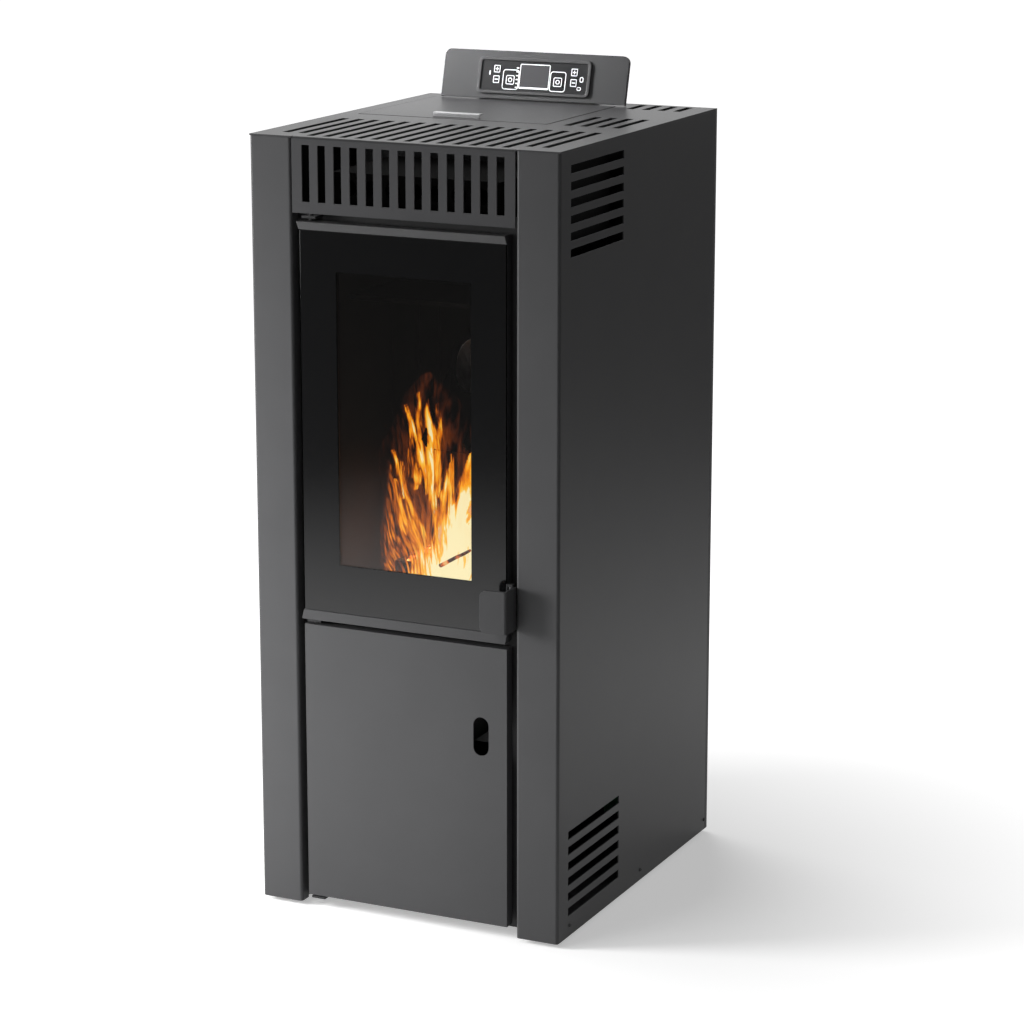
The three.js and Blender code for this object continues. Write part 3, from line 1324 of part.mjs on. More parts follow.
piece('hopper', hopper(), 'zinc');
piece('hopper_seal', hopperSeal(), 'rubber');
piece('hopper_lid', hopperLid(), 'paint');
piece('lid_hinge_pin', lidHingePin(), 'zinc');
piece('auger_tube', augerTube(), 'zinc');
piece('auger_screw', augerScrew(), 'zinc');
piece('auger_gearmotor', augerGearmotor(), 'darkPaint');

piece('heat_exchanger', heatExchanger(), 'castIron');
piece('smoke_duct', smokeDuct(), 'zinc');
piece('smoke_fan_housing', smokeFanHousing(), 'zinc');
piece('smoke_fan_impeller', smokeFanImpeller(), 'zinc');
piece('smoke_fan_motor', smokeFanMotor(), 'darkPaint');
piece('flue_pipe', pipe('y', flueRadius, flueWall, [smokeFanY[1] + fit, caseDepth + stubReach],
  [flueX, smokeFanHeight]), 'darkPaint');
piece('air_intake_pipe', pipe('y', intakeRadius, intakeWall, [fireBackOuter + fit, caseDepth + stubReach],
  [intakeX, intakeHeight]), 'zinc');

piece('ash_drawer_sleeve', ashDrawerSleeve(), 'zinc');
piece('ash_drawer', ashDrawer(), 'zinc');
piece('room_fan_housing', roomFanHousing(), 'zinc');
piece('room_fan_rotor', roomFanRotor(), 'zinc');
piece('room_fan_motor', roomFanMotor(), 'darkPaint');

const leaning = consoleGroup();
piece('console_plate', consolePlate(), 'paint', leaning);
piece('display_bezel', displayBezel(), 'plastic', leaning);
piece('display_window', displayWindow(), 'glass', leaning);
Object.entries(buttonPlaces).forEach(([name, place]) => piece(name, buttonSolid(place), 'button', leaning));
piece('keypad_board', keypadBoard(), 'board', leaning);
piece('display_housing', displayHousing(), 'plastic', leaning);

piece('control_board', controlBoard(), 'board');
piece('power_inlet', powerInlet(), 'plastic');
piece('power_switch', powerSwitch(), 'button');

export default stove;
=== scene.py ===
"""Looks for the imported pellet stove: rounded sheet metal, a glass door with a pellet fire, a console."""

import json
import logging
import math
import random
from dataclasses import dataclass, field, replace
from enum import Enum

import bmesh
import bpy
from mathutils import Matrix, Vector, noise


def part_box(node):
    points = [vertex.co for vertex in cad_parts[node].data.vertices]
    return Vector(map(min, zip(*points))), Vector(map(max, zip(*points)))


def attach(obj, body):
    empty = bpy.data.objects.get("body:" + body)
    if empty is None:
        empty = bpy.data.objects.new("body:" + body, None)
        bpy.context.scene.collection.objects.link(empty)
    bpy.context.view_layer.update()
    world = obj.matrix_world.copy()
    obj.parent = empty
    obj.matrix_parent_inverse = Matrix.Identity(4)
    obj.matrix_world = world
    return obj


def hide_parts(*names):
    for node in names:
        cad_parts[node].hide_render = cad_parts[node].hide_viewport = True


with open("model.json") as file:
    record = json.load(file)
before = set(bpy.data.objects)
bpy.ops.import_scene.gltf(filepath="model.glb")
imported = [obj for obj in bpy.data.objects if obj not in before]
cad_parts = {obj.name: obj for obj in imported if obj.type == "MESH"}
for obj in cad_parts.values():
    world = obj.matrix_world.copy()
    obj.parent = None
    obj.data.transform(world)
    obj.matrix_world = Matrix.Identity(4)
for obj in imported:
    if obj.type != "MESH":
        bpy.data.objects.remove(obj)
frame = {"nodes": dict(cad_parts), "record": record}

LOG = logging.getLogger("pellet_stove")
MM = 0.001
CASE_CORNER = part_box("side_panel_left")[0]
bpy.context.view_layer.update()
Colour = tuple[float, float, float]
Point = tuple[float, float, float]
Range = tuple[float, float]
Sides = tuple[float, float, float, float]
Stops = tuple[tuple[float, Colour], ...]
Mesh = bmesh.types.BMesh
Node = bpy.types.Node
Socket = bpy.types.NodeSocket
Piece = bpy.types.Object
Shaded = bpy.types.Material | bpy.types.World
MERGE_DISTANCE = 0.000002
FLAT_ANGLE = 0.5
# Nearly all values of a noise texture lie in this range.
NOISE_SPAN = (0.3, 0.7)
# How far a paint's roughness strays to each side with its grain.
GLOSS_SPREAD = 0.05
COAT_ROUGHNESS = 0.2
# A unit vector with more than this along an axis counts as parallel to it.
ALIGNED = 0.9


class Slot(Enum):
    """The record's material slots."""

    CASE_PAINT = "case_paint"
    DARK_PAINT = "dark_paint"
    PRINTED_GLASS = "printed_glass"
    FOOT_RUBBER = "foot_rubber"
    SEAL_RUBBER = "seal_rubber"
    GASKET_ROPE = "gasket_rope"
    ZINC_STEEL = "zinc_steel"
    CAST_IRON = "cast_iron"
    FIRE_BRICK = "fire_brick"
    CERAMIC = "ceramic"
    CONSOLE_PLASTIC = "console_plastic"
    BUTTON_PLASTIC = "button_plastic"
    DISPLAY_PANE = "display_pane"
    CIRCUIT_BOARD = "circuit_board"


class Body(Enum):
    """The moving bodies of the stove."""

    CASE = "case"
    GLASS_DOOR = "glass_door"
    POT = "pot"


def spot(x: float, y: float, z: float) -> Vector:
    """Turns case millimetres into the frame.

    Args:
        x: Distance right of the case's middle.
        y: Distance behind the front face.
        z: Height above the side panels' lower edge.

    Returns:
        The point in metres.
    """
    return Vector((x * MM, CASE_CORNER.y + y * MM, CASE_CORNER.z + z * MM))


# ---- finishes
class Bench:
    """Puts shader nodes together for one material or for the world."""

    def __init__(self, block: Shaded) -> None:
        """Empties a material or world and gives it an output."""
        block.use_nodes = True
        self.block = block
        self.tree = block.node_tree
        self.tree.nodes.clear()
        kind = "World" if isinstance(block, bpy.types.World) else "Material"
        self.output = self.add(f"ShaderNodeOutput{kind}")

    def add(self, kind: str, sockets: dict | None = None, **settings: object) -> Node:
        """Adds one node.

        Args:
            kind: Blender's name of the node type.
            sockets: Values of its input sockets, or output sockets to link them to.
            settings: Values of the node's own properties.

        Returns:
            The new node.
        """
        node = self.tree.nodes.new(kind)
        for key, value in settings.items():
            setattr(node, key, value)
        for key, value in (sockets or {}).items():
            if isinstance(value, Socket):
                self.tree.links.new(value, node.inputs[key])
            else:
                node.inputs[key].default_value = value
        return node

    def place(self) -> Socket:
        """Returns Object coordinates."""
        return self.add("ShaderNodeTexCoord").outputs["Object"]

    def noise(self, size: float, detail: float = 3.0) -> Socket:
        """Adds a noise whose spots are `size` metres across, and returns its value."""
        made = self.add("ShaderNodeTexNoise", {"Vector": self.place(), "Scale": 1.0 / size, "Detail": detail})
        return made.outputs["Fac"]

    def span(self, value: Socket, low: float, high: float, start: float = 0.0, end: float = 1.0) -> Socket:
        """Maps a value from start..end to low..high, held at the ends."""
        made = self.add("ShaderNodeMapRange", {
            "Value": value, "From Min": start, "From Max": end, "To Min": low, "To Max": high})
        return made.outputs["Result"]

    def ramp(self, value: Socket, stops: Stops) -> Socket:
        """Adds a colour ramp and returns its colour.

        Args:
            value: What the ramp reads.
            stops: Place and colour of each stop, in order.

        Returns:
            The ramp's colour socket.
        """
        made = self.add("ShaderNodeValToRGB", {"Fac": value})
        elements = made.color_ramp.elements
        for index, (place, colour) in enumerate(stops):
            stop = elements[index] if index < 2 else elements.new(place)
            stop.position = place
            stop.color = (*colour, 1.0)
        return made.outputs["Color"]

    def maths(self, operation: str, first: object, second: object = 0.0) -> Socket:
        """Adds a Math node and returns its value."""
        made = self.add("ShaderNodeMath", operation=operation)
        for socket, value in zip(made.inputs, (first, second)):
            if isinstance(value, Socket):
                self.tree.links.new(value, socket)
            else:
                socket.default_value = value
        return made.outputs["Value"]

    def bump(self, height: Socket, distance: float) -> Socket:
        """Adds a bump of a height and returns its normal."""
        made = self.add("ShaderNodeBump", {"Height": height, "Strength": 1.0, "Distance": distance})
        return made.outputs["Normal"]

    def join(self, kind: str, first: Node, second: Node, sockets: dict | None = None) -> Node:
        """Joins two shaders with a Mix or Add Shader node.

        Args:
            kind: Blender's name of the node type.
            first: The shader for its last input but one.
            second: The shader for its last input.
            sockets: Its other inputs.

        Returns:
            The joining node.
        """
        both = self.add(kind, sockets)
        for socket, shader in zip(list(both.inputs)[-2:], (first, second)):
            self.tree.links.new(shader.outputs[0], socket)
        return both

    def finish(self, shader: Node) -> Shaded:
        """Links the last shader to the output and returns the material or world."""
        self.tree.links.new(shader.outputs[0], self.output.inputs["Surface"])
        return self.block


@dataclass(frozen=True)
class Recipe:
    """What every finish shares: it is mixed once and then reused."""

    name: str
    slot: Slot

    def mix(self, bench: Bench) -> Node:
        """Returns the finish's last shader."""
        raise NotImplementedError(self.name)

    def material(self) -> bpy.types.Material:
        """Returns the finish's material, mixed at its first use."""
        label = f"{self.name}_finish"
        if label in bpy.data.materials:
            return bpy.data.materials[label]
        bench = Bench(bpy.data.materials.new(label))
        return bench.finish(self.mix(bench))


@dataclass(frozen=True)
class Finish(Recipe):
    """A solid finish with a fine grain, soft mottling and uneven gloss."""

    colour: Colour
    roughness: float
    metallic: float = 0.0
    grain: float = 0.0007
    relief: float = 0.00001
    mottle: float = 0.06
    mottle_size: float = 0.08
    specular: float = 0.5
    coat: float = 0.0

    def mix(self, bench: Bench) -> Node:
        """Returns the finish's last shader."""
        shade = bench.noise(self.mottle_size)
        dark = tuple(channel * (1.0 - self.mottle) for channel in self.colour)
        light = tuple(channel * (1.0 + self.mottle) for channel in self.colour)
        grain = bench.noise(self.grain, 2.0)
        gloss = bench.span(grain, self.roughness - GLOSS_SPREAD, self.roughness + GLOSS_SPREAD, *NOISE_SPAN)
        return bench.add("ShaderNodeBsdfPrincipled", {
            "Base Color": bench.ramp(shade, ((NOISE_SPAN[0], dark), (NOISE_SPAN[1], light))),
            "Roughness": gloss,
            "Metallic": self.metallic,
            "Specular IOR Level": self.specular,
            "Coat Weight": self.coat,
            "Coat Roughness": COAT_ROUGHNESS,
            "Normal": bench.bump(grain, self.relief),
        })


@dataclass(frozen=True)
class SootyFinish(Finish):
    """A finish that darkens with soot in soft patches and towards the top."""

    soot: Colour = (0.0018, 0.0016, 0.0016)
    clean_level: float = 0.42
    soot_level: float = 0.62
    amount: Range = (0.1, 1.1)
    patch: float = 0.05
    patch_depth: float = 0.25
    polish: float = 0.08

    def mix(self, bench: Bench) -> Node:
        """Returns the finish's last shader."""
        height = bench.add("ShaderNodeSeparateXYZ", {"Vector": bench.place()})
        patches = bench.span(bench.noise(self.patch), -self.patch_depth, self.patch_depth)
        rise = bench.span(height.outputs["Z"], *self.amount, self.clean_level, self.soot_level)
        rise = bench.maths("ADD", rise, patches)
        grain = bench.noise(self.grain, 4.0)
        return bench.add("ShaderNodeBsdfPrincipled", {
            "Base Color": bench.ramp(rise, ((0.0, self.colour), (1.0, self.soot))),
            "Roughness": bench.span(grain, self.roughness - self.polish, self.roughness + GLOSS_SPREAD),
            "Specular IOR Level": self.specular,
            "Normal": bench.bump(grain, self.relief),
        })


@dataclass(frozen=True)
class RopeFinish(Finish):
    """Braided glass-fibre rope: slanting strands, with painted shade in the gaps between them."""

    strand: float = 0.0022
    phase: float = 6.28
    twist: float = 1.5
    gap_shade: float = 0.35
    gap_shade_edges: Range = (0.1, 0.7)
    swell: float = 0.0006

    def mix(self, bench: Bench) -> Node:
        """Returns the finish's last shader."""
        wave = bench.add("ShaderNodeTexWave", {
            "Vector": bench.place(), "Scale": 1.0 / (self.phase * self.strand),
            "Distortion": self.twist}, wave_type="BANDS", bands_direction="DIAGONAL").outputs["Fac"]
        # Painted shade: the colour is darkened in the gaps between the strands.
        dark = tuple(channel * self.gap_shade for channel in self.colour)
        return bench.add("ShaderNodeBsdfPrincipled", {
            "Base Color": bench.ramp(wave, ((self.gap_shade_edges[0], dark), (self.gap_shade_edges[1], self.colour))),
            "Roughness": self.roughness,
            "Normal": bench.bump(wave, self.swell),
        })


@dataclass(frozen=True)
class ClearGlass(Recipe):
    """The unprinted window: a faint smoky film on clear ceramic glass."""

    name: str = "window_glass"
    slot: Slot = Slot.PRINTED_GLASS
    tint: Colour = (0.93, 0.9, 0.88)
    mirror: float = 0.03
    falloff: float = 5.0
    roughness: float = 0.03

    def mix(self, bench: Bench) -> Node:
        """Returns the finish's last shader."""
        clear = bench.add("ShaderNodeBsdfTransparent", {"Color": (*self.tint, 1.0)})
        gloss = bench.add("ShaderNodeBsdfGlossy", {"Color": (1.0, 1.0, 1.0, 1.0), "Roughness": self.roughness})
        slant = bench.add("ShaderNodeLayerWeight", {"Blend": 0.5}).outputs["Facing"]
        grazing = bench.maths("MULTIPLY", bench.maths("POWER", slant, self.falloff), 1.0 - self.mirror)
        share = bench.maths("ADD", grazing, self.mirror)
        return bench.join("ShaderNodeMixShader", clear, gloss, {"Fac": share})


@dataclass(frozen=True)
class FlameFinish(Recipe):
    """A flame: its sheet's own heat gives brightness and colour, torn into upright wisps."""

    name: str = "flame"
    slot: Slot = Slot.CAST_IRON
    strength: float = 1.15
    wisp: float = 0.0026
    wisp_squeeze: float = 0.07
    wisp_span: Range = (0.34, 0.66)
    tear: Range = (-0.62, 0.42)
    full_tear_heat: float = 0.4
    full_cover: float = 0.92
    cover_heats: Range = (0.04, 0.6)
    stops: Stops = (
        (0.0, (0.09, 0.03, 0.025)), (0.2, (0.3, 0.06, 0.008)), (0.4, (0.85, 0.2, 0.004)),
        (0.65, (1.0, 0.4, 0.012)), (0.88, (1.0, 0.62, 0.08)), (1.0, (1.0, 0.93, 0.55)))

    def mix(self, bench: Bench) -> Node:
        """Returns the finish's last shader."""
        heat = bench.add("ShaderNodeAttribute", attribute_name="warmth").outputs["Fac"]
        strand = bench.add("ShaderNodeAttribute", attribute_name="strand").outputs["Fac"]
        place = bench.add("ShaderNodeSeparateXYZ", {"Vector": bench.place()}).outputs
        squeezed = bench.maths("MULTIPLY", place["Z"], self.wisp_squeeze)
        fibre = bench.add("ShaderNodeCombineXYZ", {"X": strand, "Y": place["Y"], "Z": squeezed})
        wisps = bench.add("ShaderNodeTexNoise", {
            "Vector": fibre.outputs["Vector"], "Scale": 1.0 / self.wisp, "Detail": 4.0}).outputs["Fac"]
        streaks = bench.span(wisps, *self.tear, *self.wisp_span)
        shred = bench.maths("MULTIPLY", streaks, bench.span(heat, 0.0, 1.0, 0.0, self.full_tear_heat))
        torn = bench.maths("ADD", heat, shred)
        glow = bench.add("ShaderNodeEmission", {
            "Color": bench.ramp(torn, self.stops), "Strength": self.strength})
        clear = bench.add("ShaderNodeBsdfTransparent")
        cover = bench.span(torn, 0.0, self.full_cover, *self.cover_heats)
        return bench.join("ShaderNodeMixShader", clear, glow, {"Fac": cover})


@dataclass(frozen=True)
class EmberFinish(Recipe):
    """Glowing pellets: dark ash skin with hot cracks."""

    name: str = "embers"
    slot: Slot = Slot.CAST_IRON
    strength: float = 3.0
    roughness: float = 0.95
    patch: float = 0.012
    relief: float = 0.001
    cracks: Stops = (
        (0.42, (0.05, 0.01, 0.004)), (0.55, (1.0, 0.2, 0.02)), (0.68, (1.0, 0.6, 0.2)))
    skin: Stops = ((0.4, (0.02, 0.016, 0.014)), (0.6, (0.22, 0.1, 0.05)))

    def mix(self, bench: Bench) -> Node:
        """Returns the finish's last shader."""
        patches = bench.noise(self.patch, 4.0)
        return bench.add("ShaderNodeBsdfPrincipled", {
            "Base Color": bench.ramp(patches, self.skin),
            "Roughness": self.roughness,
            "Emission Color": bench.ramp(patches, self.cracks),
            "Emission Strength": self.strength,
            "Normal": bench.bump(patches, self.relief),
        })


@dataclass(frozen=True)
class MarkFinish(Finish):
    """A printed mark with a painted glow, so that it reads a little brighter than its paint."""

    glow: float = 0.55
    wear: float = 0.004
    worn_level: float = 0.85

    def mix(self, bench: Bench) -> Node:
        """Returns the finish's last shader."""
        worn = bench.noise(self.wear)
        soft = tuple(channel * self.worn_level for channel in self.colour)
        return bench.add("ShaderNodeBsdfPrincipled", {
            "Base Color": bench.ramp(worn, ((NOISE_SPAN[0], soft), (NOISE_SPAN[1], self.colour))),
            "Roughness": self.roughness,
            # Painted glow: the emission lights the print, which is no lamp.
            "Emission Color": (*self.colour, 1.0),
            "Emission Strength": self.glow,
        })


CASE_PAINT = Finish(
    "powder_coat", Slot.CASE_PAINT, (0.072, 0.072, 0.074), 0.36, grain=0.0006, mottle=0.03, specular=0.15)
# Painted shade: a darker copy of the case paint for the top cover and the hopper lid, which face up.
SHADED_TOP_PAINT = replace(CASE_PAINT, name="powder_coat_top_painted_shade", colour=(0.058, 0.058, 0.06))
# Painted shade: a darker copy of the case paint for the door's top strip; the bottom strip keeps the case
# paint.
SHADED_STRIP_PAINT = replace(CASE_PAINT, name="powder_coat_strip_painted_shade", colour=(0.042, 0.042, 0.043))
BEZEL_GLOSS = Finish(
    "bezel_gloss", Slot.CONSOLE_PLASTIC, (0.05, 0.05, 0.052), 0.2,
    grain=0.0006, relief=0.000005, mottle=0.03, coat=0.6)
DARK_PAINT = Finish(
    "black_heat_paint", Slot.DARK_PAINT, (0.014, 0.014, 0.015), 0.6, grain=0.0008, relief=0.00002)
BLACK_SCREW = Finish("black_screw", Slot.ZINC_STEEL, (0.02, 0.02, 0.02), 0.4, metallic=0.6, grain=0.001)
# Painted highlight: a pale grey copy of the case paint on the lid's pull, standing in for the light its curl
# catches.
PULL_LIP_HIGHLIGHT = Finish("pull_lip_painted_highlight", Slot.CASE_PAINT, (0.5, 0.5, 0.51), 0.3, metallic=0.3, grain=0.0005, mottle=0.05)
# Painted shade: a near-black sheet behind the side louvres, so that their slots read dark.
SHADE_SHEET = Finish("painted_shade_cloth", Slot.DARK_PAINT, (0.004, 0.004, 0.004), 0.9, specular=0.1)
GLASS_PRINT = Finish(
    "black_glass_print", Slot.PRINTED_GLASS, (0.003, 0.003, 0.0033), 0.1, grain=0.004, relief=0.0)
FOOT_RUBBER = Finish("foot_rubber", Slot.FOOT_RUBBER, (0.015, 0.015, 0.015), 0.8, grain=0.001, relief=0.00005)
SEAL_RUBBER = Finish("seal_rubber", Slot.SEAL_RUBBER, (0.02, 0.02, 0.02), 0.75, grain=0.001, relief=0.00004)
GASKET_ROPE = RopeFinish("gasket_rope", Slot.GASKET_ROPE, (0.09, 0.085, 0.08), 0.95)
ZINC_STEEL = Finish(
    "zinc_steel", Slot.ZINC_STEEL, (0.42, 0.43, 0.44), 0.38, metallic=0.9,
    grain=0.0012, mottle=0.18, mottle_size=0.02)
# Painted shade: zinc parts inside the case are made near black, standing in for the shade they sit in.
SHADED_ZINC = replace(ZINC_STEEL, name="zinc_painted_shade", colour=(0.015, 0.015, 0.016), roughness=0.6, metallic=0.0)
PIPE_PAINT = Finish("pipe_paint", Slot.DARK_PAINT, (0.02, 0.02, 0.021), 0.55, grain=0.0009, relief=0.00003)
CAST_IRON = Finish(
    "cast_iron", Slot.CAST_IRON, (0.02, 0.016, 0.014), 0.82,
    grain=0.0016, relief=0.00012, mottle=0.3, mottle_size=0.03)
SOOTY_IRON = SootyFinish(
    "sooty_iron", Slot.CAST_IRON, (0.03, 0.019, 0.015), 0.85, grain=0.002, relief=0.0001, specular=0.05)
FIRE_BRICK = SootyFinish(
    "fire_brick", Slot.FIRE_BRICK, (0.05, 0.03, 0.022), 0.92, grain=0.003, relief=0.0002, specular=0.05)
CERAMIC = Finish("ceramic", Slot.CERAMIC, (0.6, 0.56, 0.5), 0.5, grain=0.001, relief=0.00002)
CONSOLE_PLASTIC = Finish(
    "console_plastic", Slot.CONSOLE_PLASTIC, (0.008, 0.008, 0.009), 0.42, grain=0.0005, specular=0.2)
BUTTON_PLASTIC = Finish(
    "button_plastic", Slot.BUTTON_PLASTIC, (0.014, 0.014, 0.016), 0.4,
    grain=0.0005, relief=0.000005, specular=0.25)
DISPLAY_PANE = Finish("display_pane", Slot.DISPLAY_PANE, (0.06, 0.06, 0.064), 0.12, grain=0.003, relief=0.0)
CIRCUIT_BOARD = Finish(
    "circuit_board", Slot.CIRCUIT_BOARD, (0.02, 0.1, 0.045), 0.45,
    grain=0.0015, relief=0.00003, mottle=0.3, mottle_size=0.006)
PALE_MARK = MarkFinish("pale_mark", Slot.BUTTON_PLASTIC, (0.75, 0.76, 0.78), 0.5)
WINDOW_GLASS = ClearGlass()
FLAME = FlameFinish()
EMBERS = EmberFinish()
CHARRED = EmberFinish("charred_ember", strength=0.8)


# ---- workshop
def stand(name: str, data: bpy.types.ID) -> Piece:
    """Stands a mesh, light or camera in the scene as an object, and returns it."""
    made = bpy.data.objects.new(name, data)
    bpy.context.scene.collection.objects.link(made)
    return made


def in_body(node: str) -> str:
    """Returns the name of the body that carries a CAD node."""
    bodies = frame["record"]["behaviour"]["bodies"]
    return next(body for body, members in bodies.items() if node in members)


def dress(finish: Recipe, *nodes: str) -> None:
    """Gives CAD nodes a finish and leaves their meshes alone."""
    for name in nodes:
        data = frame["nodes"][name].data
        data.materials.clear()
        data.materials.append(finish.material())
        LOG.info("dressed %s", name)


def hand_over(work: Mesh, name: str, body: str, finish: Recipe,
              smooth: float = 35.0, flip: bool = True) -> Piece:
    """Turns a finished bmesh into a piece that rides on a body.

    Args:
        work: The mesh, in the frame's metres. It is freed.
        name: The piece's name.
        body: The body that carries it.
        finish: The finish of its first material slot.
        smooth: Edges that turn more than this many degrees stay sharp.
        flip: Whether normals are worked out again.

    Returns:
        The piece.
    """
    if flip:
        bmesh.ops.recalc_face_normals(work, faces=work.faces)
    for face in work.faces:
        face.smooth = True
    for edge in work.edges:
        edge.smooth = edge.is_manifold and edge.calc_face_angle(0.0) < math.radians(smooth)
    data = bpy.data.meshes.new(name)
    work.to_mesh(data)
    work.free()
    data.materials.append(finish.material())
    piece = stand(name, data)
    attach(piece, body)
    LOG.info("made %s: %d faces", name, len(data.polygons))
    return piece


def merged_copy(node: str) -> Mesh:
    """Copies a CAD node's loose triangles into one joined mesh of flat faces."""
    work = bmesh.new()
    work.from_mesh(frame["nodes"][node].data)
    bmesh.ops.remove_doubles(work, verts=work.verts, dist=MERGE_DISTANCE)
    bmesh.ops.dissolve_limit(work, angle_limit=math.radians(FLAT_ANGLE), verts=work.verts, edges=work.edges)
    return work


def round_edges(work: Mesh, radius: float, segments: int = 2, above: float = 30.0) -> None:
    """Rounds every edge that turns by more than `above` degrees."""
    turn = math.radians(above)
    sharp = [edge for edge in work.edges if edge.is_manifold and edge.calc_face_angle(0.0) > turn]
    bmesh.ops.bevel(work, geom=sharp, offset=radius, offset_type="OFFSET", segments=segments,
                    profile=0.5, affect="EDGES", clamp_overlap=True, material=-1)


def even_shading(piece: Piece) -> None:
    """Keeps flat faces flat in the shading, next to rounded edges."""
    weigh = piece.modifiers.new("even_shading", "WEIGHTED_NORMAL")
    weigh.keep_sharp = True


def rounded(node: str, finish: Finish, radius: float = 0.4, segments: int = 2) -> Piece:
    """Stands a copy with rounded edges in for a CAD node.

    Args:
        node: The CAD node.
        finish: Its finish.
        radius: Radius of its edges, in millimetres.
        segments: Steps in each rounded edge.

    Returns:
        The new piece.
    """
    work = merged_copy(node)
    round_edges(work, radius * MM, segments)
    piece = hand_over(work, f"{node}_formed", in_body(node), finish, flip=False)
    even_shading(piece)
    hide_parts(node)
    return piece


def box_mesh(low: Vector, high: Vector) -> Mesh:
    """Starts a mesh with a box between two corners."""
    work = bmesh.new()
    size = high - low
    place = Matrix.Translation((low + high) / 2) @ Matrix.Diagonal((*size, 1.0))
    bmesh.ops.create_cube(work, size=1.0, matrix=place)
    return work


def edges_along(work: Mesh, axis: int) -> list[bmesh.types.BMEdge]:
    """Returns a box's straight edges that run along an axis."""
    return [edge for edge in work.edges
            if abs((edge.verts[0].co - edge.verts[1].co).normalized()[axis]) > ALIGNED]


def bevel(work: Mesh, edges: list[bmesh.types.BMEdge], radius: float, segments: int) -> None:
    """Rounds the given edges of a plain box, by a radius in millimetres."""
    bmesh.ops.bevel(work, geom=edges, offset=radius * MM, segments=segments, profile=0.5, affect="EDGES",
                    material=-1)


def add_cone(work: Mesh, segments: int, radii: Range, length: float, place: Matrix) -> None:
    """Adds a capped cone to a mesh, with its radii in millimetres and its length in metres."""
    bmesh.ops.create_cone(work, cap_ends=True, segments=segments, radius1=radii[0] * MM, radius2=radii[1] * MM,
                          depth=length, matrix=place)


# ---- sub-assemblies
@dataclass
class Case:
    """Folded case: sides, top with grille, rear, base, feet and the screws that show."""

    half_width: float = 210.0
    # Where the near-black sheet of painted shade stands behind each side's louvres.
    shade_sheet_x: Range = (186.0, 187.5)
    shade_sheet_y: Range = (28.0, 196.0)
    shade_sheet_z: Range = (862.0, 979.0)
    shade_sheet_corner: float = 3.0
    screw_spots: tuple[Range, ...] = ((36.0, 14.0), (261.0, 14.0), (483.5, 14.0))
    screw_radius: float = 2.6
    screw_height: float = 1.4
    screw_taper: float = 0.8
    screw_rim: float = 0.45
    screw_sink: float = 0.5
    screw_edge: float = 0.15

    def build(self) -> None:
        """Builds and dresses the case."""
        rounded("side_panel_left", CASE_PAINT, 0.6, 3)
        rounded("side_panel_right", CASE_PAINT, 0.6, 3)
        rounded("top_cover", SHADED_TOP_PAINT, 0.6, 3)
        rounded("rear_panel", DARK_PAINT, 0.3)
        rounded("base_plate", DARK_PAINT, 0.4)
        for corner in ("front_left", "front_right", "rear_left", "rear_right"):
            rounded(f"foot_{corner}", FOOT_RUBBER, 0.5)
        dress(DARK_PAINT, "front_frame")
        self.shade_sheet(-1)
        self.shade_sheet(1)
        for side in (-1, 1):
            for index, (back, up) in enumerate(self.screw_spots):
                self.screw(side, index, back, up)

    def shade_sheet(self, side: int) -> None:
        """Stands a thin near-black sheet with rounded edges behind the upper louvres of one side: painted
        shade that keeps the slots dark.
        """
        low, high = zip(sorted(side * x for x in self.shade_sheet_x), self.shade_sheet_y, self.shade_sheet_z)
        work = box_mesh(spot(*low), spot(*high))
        bevel(work, edges_along(work, 0), self.shade_sheet_corner, 3)
        hand_over(work, f"louvre_shade_sheet_{'right' if side > 0 else 'left'}", Body.CASE.value, SHADE_SHEET)

    def screw(self, side: int, index: int, back: float, up: float) -> None:
        """Makes one low-headed screw with a round recess on a side panel."""
        work = bmesh.new()
        turn = Matrix.Rotation(side * math.pi / 2, 4, "Y")
        place = Matrix.Translation(spot(side * (self.half_width + self.screw_height / 2), back, up)) @ turn
        add_cone(work, 24, (self.screw_radius, self.screw_radius * self.screw_taper),
                 self.screw_height * MM, place)
        outward = Vector((side, 0.0, 0.0))
        head = max(work.faces, key=lambda face: face.calc_center_median().dot(outward))
        bmesh.ops.inset_region(work, faces=[head], thickness=self.screw_radius * self.screw_rim * MM,
                               use_even_offset=True)
        bmesh.ops.translate(work, verts=head.verts, vec=outward * (-self.screw_sink * self.screw_height * MM))
        round_edges(work, self.screw_edge * MM)
        name = f"case_screw_{'right' if side > 0 else 'left'}_{index + 1}"
        hand_over(work, name, Body.CASE.value, BLACK_SCREW)


